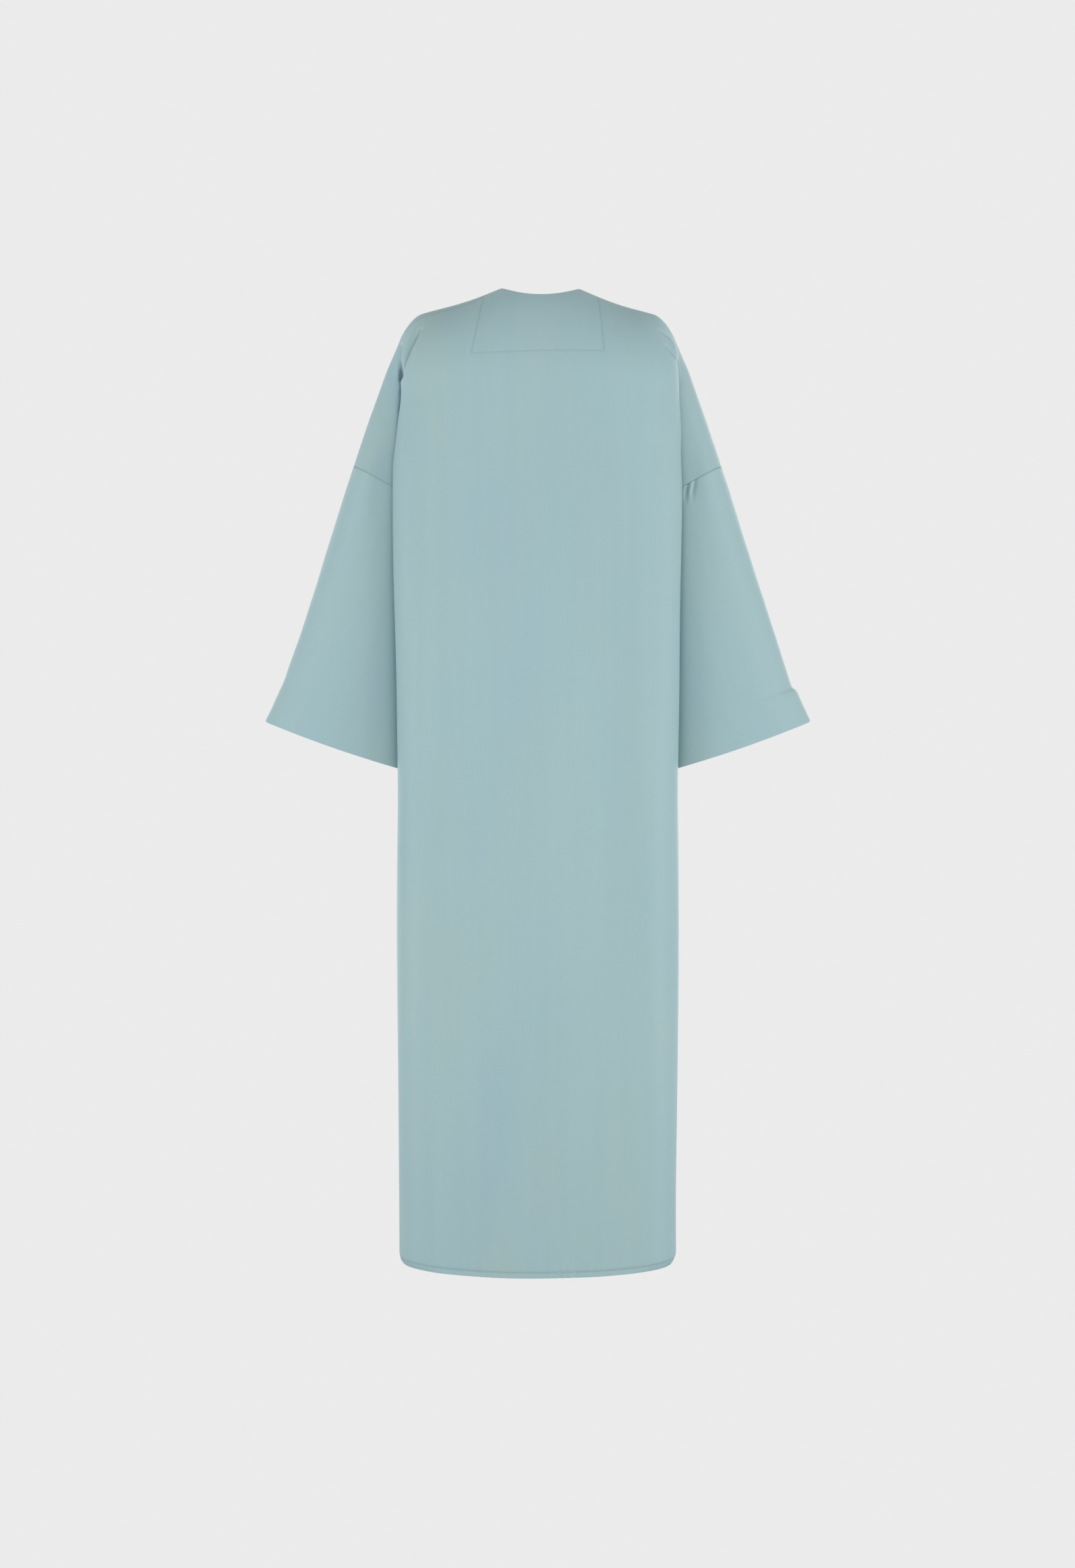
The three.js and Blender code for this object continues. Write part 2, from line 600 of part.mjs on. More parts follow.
addPart('back_hem', hemBand(BACK, [1, -1], 0), FABRIC_INSIDE);
addPart('right_front_hem', hemBand(RIGHT_FRONT, [-1], FACING_EDGE + EDGE_SETBACK), FABRIC_INSIDE);
addPart('left_front_hem', hemBand(LEFT_FRONT, [1], FOLD_LINE_FOOT_X + 2 * SEAM_GAP), FABRIC_INSIDE);
addPart('left_flap_hem', flapHem(), FABRIC_INSIDE);

for (const [side, name] of [[1, 'left'], [-1, 'right']]) {
  const near = FACING_TOP_HALF + EDGE_SETBACK + CLOTH;
  const far = SHOULDER_HALF_WIDTH - SHOULDER_ROUNDING - TAPE_END_GAP;
  const strip = new THREE.BoxGeometry((far - near) / Math.cos(SHOULDER_SLOPE), TAPE_WIDTH, TRIM);
  const tape = addPart(`${name}_shoulder_tape`, strip, TAPE);
  const x = (near + far) / 2;
  tape.position.set(side * x, SHOULDER_SEAM_SHIFT, shoulderZ(x) - TAPE_DROP - TRIM / 2);
  tape.rotation.y = side * SHOULDER_SLOPE;
}

// ---------------------------------------------------------------- press studs

const STUD_SIDES = 16;

/** A turned piece about the line through the fronts, from [radius, height] points. */
function turned(profile) {
  const piece = new THREE.LatheGeometry(profile.map(([r, h]) => new THREE.Vector2(r, h)), STUD_SIDES);
  return piece.rotateX(Math.PI);
}

/** A ring with a hole through it. */
function ring(outer, bore, height) {
  return turned([[bore, 0], [outer, 0], [outer, height], [bore, height], [bore, 0]]);
}

const capBase = LEFT_FRONT_DEPTH + CLOTH / 2 + LAYER_GAP;
const socketBase = RIGHT_FRONT_DEPTH + CLOTH / 2 + LAYER_GAP + BASE_HEIGHT + SOCKET_TO_BASE;
const studBase = RIGHT_FRONT_DEPTH + CLOTH / 2 + LAYER_GAP;
const postBase = RIGHT_FRONT_DEPTH - TRIM_INSET - TRIM / 2 - LAYER_GAP - BASE_HEIGHT;
const nubTop = BASE_HEIGHT + SOCKET_TO_BASE + NUB_ENGAGEMENT;

/** The cap that shows on the front: a low button with a bevelled top. */
function studCap() {
  const bevel = [[CAP_RADIUS, CAP_EDGE_HEIGHT], [CAP_TOP_RADIUS, CAP_HEIGHT]];
  return turned([[0, 0], [CAP_RADIUS, 0], ...bevel, [0, CAP_HEIGHT]]);
}

/** The half with the nub that snaps into the socket. */
function studWithNub() {
  const base = [[0, 0], [POST_RADIUS, 0], [POST_RADIUS, BASE_HEIGHT]];
  return turned([...base, [NUB_RADIUS, BASE_HEIGHT], [NUB_RADIUS, nubTop], [0, nubTop]]);
}

const studPieces = {
  cap: [capBase, RESIN, studCap],
  socket: [socketBase, STEEL, () => ring(SOCKET_RADIUS, SOCKET_BORE_RADIUS, SOCKET_HEIGHT)],
  stud: [studBase, STEEL, studWithNub],
  post: [postBase, STEEL, () => ring(POST_RADIUS, POST_BORE_RADIUS, BASE_HEIGHT)],
};

for (let i = 0; i < STUD_COUNT; i += 1) {
  for (const [piece, [depth, look, make]] of Object.entries(studPieces)) {
    const part = addPart(`stud_${i + 1}_${piece}`, make(), look);
    part.position.set(0, -depth, -(STUD_TOP_LEVEL + i * STUD_PITCH));
  }
}

export default gown;
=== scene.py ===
"""The looks of a long, drop-shoulder patient gown that hangs as if worn.

The gown is a set of thin sheets of matte satin: a one-piece back, two lapped fronts, two
wide sleeves, and the facings, hems, tapes, label and press studs that finish them. Every
length is in metres. +Z is up, the back faces +Y, and the wearer's left is +X.
"""

from __future__ import annotations

import logging
import math
from dataclasses import dataclass, field
from enum import Enum
from typing import Callable, Sequence

import bpy
import numpy as np
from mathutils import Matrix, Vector
from mathutils.bvhtree import BVHTree


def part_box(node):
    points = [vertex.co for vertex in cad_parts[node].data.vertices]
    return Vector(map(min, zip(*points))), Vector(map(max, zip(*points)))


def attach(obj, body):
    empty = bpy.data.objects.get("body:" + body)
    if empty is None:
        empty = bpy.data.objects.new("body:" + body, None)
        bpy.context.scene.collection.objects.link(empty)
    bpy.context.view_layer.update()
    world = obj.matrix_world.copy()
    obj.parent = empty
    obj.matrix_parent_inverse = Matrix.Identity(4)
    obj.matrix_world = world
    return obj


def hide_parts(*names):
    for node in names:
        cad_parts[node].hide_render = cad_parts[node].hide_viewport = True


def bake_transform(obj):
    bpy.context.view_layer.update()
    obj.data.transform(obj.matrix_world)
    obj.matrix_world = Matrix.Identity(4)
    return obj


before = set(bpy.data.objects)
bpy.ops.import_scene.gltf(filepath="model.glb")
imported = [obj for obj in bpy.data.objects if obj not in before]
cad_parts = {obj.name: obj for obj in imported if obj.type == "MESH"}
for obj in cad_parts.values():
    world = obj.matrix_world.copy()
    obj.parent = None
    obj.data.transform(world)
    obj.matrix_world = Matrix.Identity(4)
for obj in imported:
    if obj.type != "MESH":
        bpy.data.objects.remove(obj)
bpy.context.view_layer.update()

PATTERN_MAP = "cloth_pattern"
# The mask of painted shade: how much the cloth's colour is darkened in seams, stitch grooves, creases and
# under the body's fold edge.
PAINTED_SHADE_MASK = "seam_shade"
CLOTH_THICKNESS = 0.0006
TRIM_THICKNESS = 0.0005
SEAM_DIP = 0.00018  # how deep a seam presses into the cloth
SEAM_REACH = 0.0016  # how far from the seam the dip has mostly gone
SEAM_SHADE = 0.22  # how dark the painted shade at the bottom of a seam is

log = logging.getLogger("gown")

Array = np.ndarray


class Face(Enum):
    """The side of the body that a sheet hangs on. The value is its sign along Y."""

    BACK = 1
    FRONT = -1


class Side(Enum):
    """The wearer's side that a half of the gown is on. The value is its sign along X."""

    LEFT = 1
    RIGHT = -1


# ---------------------------------------------------------------- small helpers


def smooth(t: Array | float) -> Array:
    """Returns a smooth step from 0 to 1 as t goes from 0 to 1."""
    t = np.clip(t, 0.0, 1.0)
    return t * t * (3.0 - 2.0 * t)


def lerp(a: Array | float, b: Array | float, t: Array | float) -> Array:
    """Returns the value a share t of the way from a to b."""
    return a + (b - a) * t


def bump(distance: Array, reach: float) -> Array:
    """Returns a round bump, 1 at distance 0, that has mostly gone at reach."""
    return np.exp(-((distance / reach) ** 2))


def paced(start: float, end: float, step: float, fine: Sequence[tuple[float, float, float]] = ()) -> Array:
    """Values from start to end whose spacing tightens near chosen places.

    Args:
        start: The first value.
        end: The last value.
        step: The widest spacing.
        fine: (place, reach, spacing) of each place with a tighter spacing.

    Returns:
        The values, both ends included.
    """
    values = [start]
    while values[-1] < end - 1e-9:
        here = values[-1]
        paces = [small + max(0.0, abs(here - place) - reach) * 0.4 for place, reach, small in fine]
        values.append(min(end, here + min([step, *paces])))
    return np.array(values)


def path_distance(x: Array, level: Array, path: Sequence[tuple[float, float]]) -> tuple[Array, Array]:
    """How far points lie from a path, and how far along it.

    Args:
        x: The points' x.
        level: The points' depth below the neck.
        path: The path's corners as (x, level).

    Returns:
        The distance to the path and the share of its length at the nearest place.
    """
    best = np.full(np.shape(x), np.inf)
    share = np.zeros(np.shape(x))
    lengths = [math.dist(a, b) for a, b in zip(path, path[1:])]
    walked = 0.0
    for (ax, az), (bx, bz), length in zip(path, path[1:], lengths):
        t = np.clip(((x - ax) * (bx - ax) + (level - az) * (bz - az)) / length**2, 0.0, 1.0)
        distance = np.hypot(x - lerp(ax, bx, t), level - lerp(az, bz, t))
        closer = distance < best
        best = np.where(closer, distance, best)
        share = np.where(closer, (walked + t * length) / sum(lengths), share)
        walked += length
    return best, share


class SoftNoise:
    """Smooth noise over a plane: seeded lattice values joined by smooth steps."""

    def __init__(self, seed: int, cells: int = 48) -> None:
        """Draws the lattice.

        Args:
            seed: Seed of the draw.
            cells: Lattice cells on each side before the noise repeats.
        """
        self.cells = cells
        self.values = np.random.default_rng(seed).uniform(-1.0, 1.0, (cells, cells))

    def __call__(self, u: Array, v: Array) -> Array:
        """Returns the noise, from -1 to 1, at lattice coordinates u and v."""
        i, j = np.floor(u).astype(int), np.floor(v).astype(int)
        a, b = smooth(u - i), smooth(v - j)
        i, j, k, m = i % self.cells, j % self.cells, (i + 1) % self.cells, (j + 1) % self.cells
        low = lerp(self.values[i, j], self.values[k, j], a)
        high = lerp(self.values[i, m], self.values[k, m], a)
        return lerp(low, high, b)


# ---------------------------------------------------------------- sizes and surfaces


@dataclass(frozen=True)
class Bulge:
    """A soft widening or narrowing of an outline around one place along it."""

    place: float
    amount: float
    reach: float

    def at(self, where: Array) -> Array:
        """Returns how far the outline moves at each place along it."""
        return self.amount * bump(where - self.place, self.reach)


@dataclass(frozen=True)
class Cut:
    """The sizes that the gown is cut and hung to."""

    seam_gap: float = 0.00028
    neck_half: float = 0.059
    shoulder_slope: float = math.radians(18.7)
    shoulder_half: float = 0.202
    rounding: float = 0.032
    tip_drop: float = 0.022
    seam_shift: float = 0.008
    back_neck_drop: float = 0.0208
    back_neck_shape: float = 0.8
    front_neck_drop: float = 0.095
    yoke: float = 0.150
    chest_ease: float = 0.009
    chest_level: float = 0.320
    hip_ease: float = 0.003
    hip_level: float = 0.760
    hem_ease: float = -0.001
    length: float = 1.444
    corner: float = 0.060
    fold_depth: float = 0.062
    sleeve_clearance: float = 0.006
    low_tuck: float = 0.005
    sleeve_length: float = 0.605
    cuff_width: float = 0.213
    sleeve_inner_x: float = 0.200
    drop: float = 0.2065
    armhole_slope: float = math.radians(30)
    arm_half: float = 0.055
    cuff_half: float = 0.046
    outer_power: float = 2.3
    inner_power: float = 5.0
    left_edge: tuple[Bulge, ...] = (
        Bulge(0.165, -0.0032, 0.034),
        Bulge(0.268, 0.0014, 0.026),
        Bulge(0.560, -0.0016, 0.110),
        Bulge(0.760, -0.0012, 0.100),
        Bulge(0.980, 0.0008, 0.140),
        Bulge(1.450, -0.0080, 0.0095),
    )
    right_edge: tuple[Bulge, ...] = (
        Bulge(0.152, 0.0034, 0.034),
        Bulge(0.208, 0.0042, 0.036),
        Bulge(0.460, -0.0019, 0.130),
        Bulge(0.740, -0.0013, 0.100),
        Bulge(0.980, 0.0003, 0.140),
        Bulge(1.340, -0.0012, 0.120),
        Bulge(1.450, -0.0095, 0.0100),
    )
    left_bow: tuple[tuple[float, float], ...] = (
        (0.0, 0.0), (0.060, 0.0030), (0.137, 0.0036), (0.235, 0.0024),
        (0.330, -0.0005), (0.400, -0.0032), (0.467, -0.0046), (0.513, -0.0040),
        (0.541, -0.0042), (0.549, -0.0034), (0.579, -0.0008), (0.612, 0.0030),
    )
    right_bow: tuple[tuple[float, float], ...] = (
        (0.0, 0.0), (0.060, 0.0032), (0.137, 0.0034), (0.235, 0.0020),
        (0.330, -0.0008), (0.400, -0.0026), (0.467, -0.0042), (0.520, -0.0058),
        (0.5475, -0.0064), (0.5545, -0.0024), (0.560, -0.0012), (0.612, 0.0034),
    )

    @property
    def shoulder_end(self) -> Array:
        """The x and z of the point where the arm's fold starts."""
        fall = (self.shoulder_half - self.neck_half) * math.tan(self.shoulder_slope)
        return np.array([self.shoulder_half, -fall - self.tip_drop])

    @property
    def sleeve_angle(self) -> float:
        """The angle of the arm's fold from upright."""
        run = math.hypot(self.sleeve_length, self.cuff_width)
        lean = math.asin((self.sleeve_inner_x - self.shoulder_half) / run)
        return lean + math.atan2(self.cuff_width, self.sleeve_length)

    @property
    def along(self) -> Array:
        """The direction down the arm, in x and z."""
        return np.array([math.sin(self.sleeve_angle), -math.cos(self.sleeve_angle)])

    @property
    def across(self) -> Array:
        """The direction from the arm's fold towards the body, in x and z."""
        return np.array([-math.cos(self.sleeve_angle), -math.sin(self.sleeve_angle)])

    @property
    def root_level(self) -> float:
        """The level at which the armhole seam meets the body's fold edge."""
        top = self.arm_place(np.array(self.drop), np.array(0.0))
        root_x = self.shoulder_half + self.chest_ease
        return float(-top[1] + (top[0] - root_x) * math.tan(self.armhole_slope))

    @property
    def cuff_inner_level(self) -> float:
        """The level of the cuff's inner end."""
        return float(-self.arm_place(np.array(self.sleeve_length), np.array(self.cuff_width))[1])

    def edge(self, level: Array, side: Side) -> Array:
        """Returns the half width of the body's fold edge at each level on one side."""
        chest = smooth((level - self.yoke) / (self.chest_level - self.yoke))
        hip = smooth((level - self.chest_level) / (self.hip_level - self.chest_level))
        hem = smooth((level - self.hip_level) / (self.length - self.hip_level))
        width = self.shoulder_half + self.chest_ease * chest
        width = width + (self.hip_ease - self.chest_ease) * hip + (self.hem_ease - self.hip_ease) * hem
        bulges = self.left_edge if side is Side.LEFT else self.right_edge
        return width + sum(bulge.at(level) for bulge in bulges)

    def bow(self, s: Array, side: Side) -> Array:
        """Returns how far the arm's fold bows out at s down the arm."""
        knots = self.left_bow if side is Side.LEFT else self.right_bow
        places, heights = (np.array(column) for column in zip(*knots))
        k = np.clip(np.searchsorted(places, s, side="right") - 1, 0, len(places) - 2)
        share = np.clip((s - places[k]) / (places[k + 1] - places[k]), 0.0, 1.0)
        return lerp(heights[k], heights[k + 1], lerp(share, smooth(share), 0.5))

    def shoulder_z(self, x: Array) -> Array:
        """Returns the height of the shoulder line at x, which runs on round over the neck."""
        rounding = np.maximum(0.0, (np.abs(x) - self.shoulder_half) / self.rounding + 1.0)
        over_neck = self.neck_half / 2.0 * (1.0 + (x / self.neck_half) ** 2)
        out = np.where(np.abs(x) < self.neck_half, over_neck, np.abs(x))
        slope = math.tan(self.shoulder_slope)
        return -(out - self.neck_half) * slope - self.tip_drop * rounding**2

    def seam_y(self, x: Array) -> Array:
        """Returns the depth of the shoulder line at x."""
        run = self.shoulder_half - self.rounding
        return self.seam_shift * (1.0 - smooth((np.abs(x) - run) / self.rounding))

    def back_neck_z(self, x: Array) -> Array:
        """Returns the height of the back neckline at x."""
        dip = np.clip(1.0 - (x / self.neck_half) ** 2, 0.0, 1.0)
        return -self.back_neck_drop * dip**self.back_neck_shape

    def front_neck_z(self, x: Array) -> Array:
        """Returns the height of the front neckline at x."""
        peak = float(self.shoulder_z(np.array(0.0)))
        reach = (peak + self.front_neck_drop) / (peak + self.yoke)
        return lerp(self.shoulder_z(x), -self.yoke, reach * (1.0 - np.abs(x / self.neck_half) ** 1.6))

    def arm_place(self, s: Array, w: Array) -> Array:
        """Returns x and z at s down the arm's fold and w in from it."""
        return self.shoulder_end + s[..., None] * self.along + w[..., None] * self.across

    def sleeve_width(self, s: Array) -> Array:
        """Returns the flat width of the sleeve at s, whose inner edge hangs upright."""
        return (self.shoulder_half + s * self.along[0] - self.sleeve_inner_x) / -self.across[0]

    def arm_half_depth(self, s: Array) -> Array:
        """Returns the half depth of the arm at s."""
        swell = self.arm_half * (1.0 - np.exp(-s / 0.040))
        to_cuff = smooth((s - self.drop) / (self.sleeve_length - self.drop))
        return lerp(swell, self.cuff_half, to_cuff)

    def arm_profile(self, w_share: Array) -> Array:
        """Returns the share of the arm's half depth at a share of its width in from the fold."""
        c = np.clip(1.0 - 2.0 * w_share, -1.0, 1.0)
        power = np.where(c > 0.0, self.outer_power, self.inner_power)
        return (1.0 - np.abs(c) ** power) ** (1.0 / power)

    def bow_share(self, w_share: Array) -> Array:
        """Returns how much of the fold's bow is left at a share of the width in from it."""
        return (1.0 - np.clip(w_share, 0.0, 1.0)) ** 2.5

    def bowed_place(self, s: Array, w: Array, side: Side) -> Array:
        """Returns arm_place with the bow of the arm's fold, which dies out towards the body."""
        share = self.bow_share(w / np.maximum(self.sleeve_width(s), 1e-4))
        return self.arm_place(s, w) - (self.bow(s, side) * share)[..., None] * self.across

    def armhole_seam(self, turn: Array) -> Array:
        """Returns s where the armhole seam crosses the sleeve at each turn round it."""
        half = self.sleeve_width(np.array(self.drop)) / 2.0
        tilt = self.armhole_slope - self.sleeve_angle
        return self.drop + half * (1.0 - np.cos(turn)) * math.tan(tilt)


@dataclass(frozen=True)
class Panel:
    """One body panel's place: its face, its depth and how soon it falls clear of the shoulder."""

    face: Face
    depth: float
    full_at: float


BACK = Panel(Face.BACK, 0.112, 1.0)
RIGHT_FRONT = Panel(Face.FRONT, 0.110, 0.7)
LEFT_FRONT = Panel(Face.FRONT, 0.117, 0.7)


@dataclass(frozen=True)
class Crease:
    """A pressed-in or raised line in the cloth of the back, along a path of (x, level)."""

    path: tuple[tuple[float, float], ...]
    height: float
    width: float
    # How much painted shade darkens the crease's bottom.
    shade: float = 0.0

    def shade_at(self, x: Array, level: Array) -> Array:
        """Returns how much painted shade darkens the bottom of the crease at each place."""
        distance, share = path_distance(x, level, self.path)
        fade = np.sin(np.pi * lerp(0.05, 0.95, share)) ** 0.5
        return self.shade * bump(distance, self.width * 0.45) * fade

    def at(self, x: Array, level: Array) -> Array:
        """Returns how far the cloth moves out at each place."""
        distance, share = path_distance(x, level, self.path)
        fade = np.sin(np.pi * lerp(0.08, 0.92, share)) ** 0.7
        return self.height * bump(distance, self.width) * fade


@dataclass(frozen=True)
class Ripple:
    """One layer of soft folds: the size of its waves and its place in the noise."""

    width: float
    length: float
    start: tuple[float, float]

    def at(self, noise: SoftNoise, x: Array, level: Array, lean: Array | float = 0.0) -> Array:
        """Returns the layer's height, from -1 to 1, at each place."""
        return noise(x / self.width + lean + self.start[0], level / self.length + self.start[1])


@dataclass(frozen=True)
class Drape:
    """How the cloth of the gown hangs: its folds, creases and the set of its neck and hem."""

    cut: Cut
    neck_set: float = 0.0042
    hem_rise: float = 0.0138
    hem_rise_at: float = 0.19
    hem_rise_from: float = 1.20
    left_sag: float = 0.0052
    right_sag: float = 0.0068
    sag_at: float = 0.112
    sag_reach: float = 0.062
    fold_height: float = 0.0030
    fold_lean: float = 0.30
    folds_from: float = 0.16
    folds_over: float = 0.95
    narrow_folds: Ripple = Ripple(0.062, 0.70, (7.0, 3.0))
    wide_folds: Ripple = Ripple(0.135, 1.10, (19.0, 5.0))
    slack: Ripple = Ripple(0.210, 0.240, (31.0, 9.0))
    slack_share: float = 0.30
    pucker_height: float = 0.00075
    pucker_pitch: float = 0.0115
    pucker_reach: float = 0.009
    placket_half: float = 0.036
    facing_foot: tuple[tuple[float, float], ...] = ((-0.0939, 0.1068), (0.0975, 0.1112))
    facing_left: tuple[tuple[float, float], ...] = ((0.0827, 0.0150), (0.0975, 0.1112))
    facing_right: tuple[tuple[float, float], ...] = ((-0.0838, 0.0160), (-0.0939, 0.1068))
    groove: float = 0.00050
    facing_groove: float = 0.60
    shoulder_seam: tuple[tuple[float, float], ...] = (
        (0.0830, 0.0165), (0.1000, 0.0245), (0.1185, 0.0316), (0.1415, 0.0390),
        (0.1675, 0.0472), (0.1845, 0.0585), (0.1945, 0.0660),
    )
    creases: tuple[Crease, ...] = (
        Crease(
            ((0.171, 0.071), (0.179, 0.085), (0.188, 0.104), (0.195, 0.122), (0.199, 0.142)),
            -0.0064, 0.0034, 1.0,
        ),
        Crease(((0.182, 0.080), (0.192, 0.101), (0.1985, 0.122)), 0.0020, 0.0036),
        Crease(((0.2005, 0.088), (0.2020, 0.112), (0.2000, 0.142)), -0.0046, 0.0026, 0.8),
        Crease(((-0.176, 0.071), (-0.188, 0.077), (-0.1985, 0.082)), -0.0028, 0.0028, 0.38),
        Crease(((-0.1945, 0.080), (-0.1985, 0.096), (-0.2030, 0.114)), 0.0030, 0.0030),
        Crease(((-0.185, 0.096), (-0.193, 0.103), (-0.2020, 0.114)), -0.0028, 0.0028, 0.42),
    )
    noises: tuple[SoftNoise, ...] = field(
        default_factory=lambda: tuple(SoftNoise(seed) for seed in (11, 23, 37))
    )

    def body_offset(self, x: Array, level: Array, face: Face) -> Array:
        """How far the cloth of the body stands out from its plain surface.

        Args:
            x: Places across the gown.
            level: Their depth below the neck.
            face: The face of the body that they are on.

        Returns:
            The distance along the cloth's outward side.
        """
        narrow, wide, slack = self.noises
        height = self.fold_height
        grow = smooth((level - self.folds_from) / self.folds_over)
        lean = self.fold_lean * level * face.value
        out = self.narrow_folds.at(narrow, x, level, lean) * height * lerp(0.10, 0.62, grow)
        out = out + self.wide_folds.at(wide, x, level, lean) * height * lerp(0.12, 1.0, grow)
        out = out + self.slack.at(slack, x, level) * height * self.slack_share * smooth(level / 0.3)
        out = out * lerp(1.0, 0.35, smooth((np.abs(x) - 0.150) / 0.045))
        if face is Face.FRONT:
            return out * smooth((np.abs(x) - self.placket_half) / 0.07)
        return out + sum(crease.at(x, level) for crease in self.creases)

    def seam_dip(self, x: Array, level: Array, face: Face) -> Array:
        """Returns how deep the stitch lines of the body press in at each place, from 0 to 1."""
        hem = bump(level - self.hem_stitch_level, 0.0015)
        if face is Face.FRONT:
            return hem
        lines = [self.facing_foot, self.facing_left, self.facing_right]
        distances = [path_distance(x, level, line)[0] for line in lines]
        facing = self.facing_groove * bump(np.minimum.reduce(distances), 0.0013)
        shoulder = bump(path_distance(x, level, self.shoulder_seam)[0], 0.0013)
        return np.maximum.reduce([hem, facing, shoulder])

    def pucker(self, x: Array, level: Array) -> Array:
        """Returns the small waves that the hem's stitching draws into the cloth."""
        beside = bump(level - self.hem_stitch_level - 0.001, self.pucker_reach)
        strong = 0.30 + 1.30 * bump(x + 0.040, 0.022)
        waves = x / self.pucker_pitch + 0.6 * np.sin(x / 0.031)
        return self.pucker_height * beside * strong * np.sin(2.0 * np.pi * waves)

    @property
    def hem_stitch_level(self) -> float:
        """The level of the stitch line of the hem."""
        return self.cut.length - 0.008

    def settle(self, points: Array) -> Array:
        """Moves points as the whole gown settles on its wearer.

        Args:
            points: Places on the gown's plain surfaces.

        Returns:
            The places with the neck a little off centre and the hem curving up at the sides.
        """
        x, y, z = points[..., 0], points[..., 1], points[..., 2]
        near_neck = (1.0 - smooth(-z / 0.20)) * (1.0 - smooth((np.abs(x) - 0.09) / 0.10))
        share = smooth((-z - self.hem_rise_from) / (self.cut.length - self.hem_rise_from))
        rise = self.hem_rise * (x / self.hem_rise_at) ** 2 * share**2
        deepest = np.where(x > 0.0, self.left_sag, self.right_sag)
        low = deepest * bump(np.abs(x) - self.sag_at, self.sag_reach)
        sag = low * (1.0 - smooth(-z / 0.17))
        return np.stack([x - self.neck_set * near_neck, y, z + rise - sag], axis=-1)

    def sleeve_offset(self, s: Array, turn: Array, side: Side) -> Array:
        """Returns how far a sleeve's cloth stands out at s down the arm and turn round it."""
        narrow, wide, _ = self.noises
        lower = smooth((s - self.cut.drop - 0.012) / 0.12)
        away = np.sin(turn) ** 2
        shift = 3.0 if side is Side.LEFT else 14.0
        out = narrow(turn * 1.7 + shift, s / 0.45 + shift) * 0.0011
        out = out + wide(turn * 0.9 + shift, s / 0.30 + 2.0 * shift) * 0.0018
        return out * lower * (0.25 + 0.75 * away)


# ---------------------------------------------------------------- cloth meshes


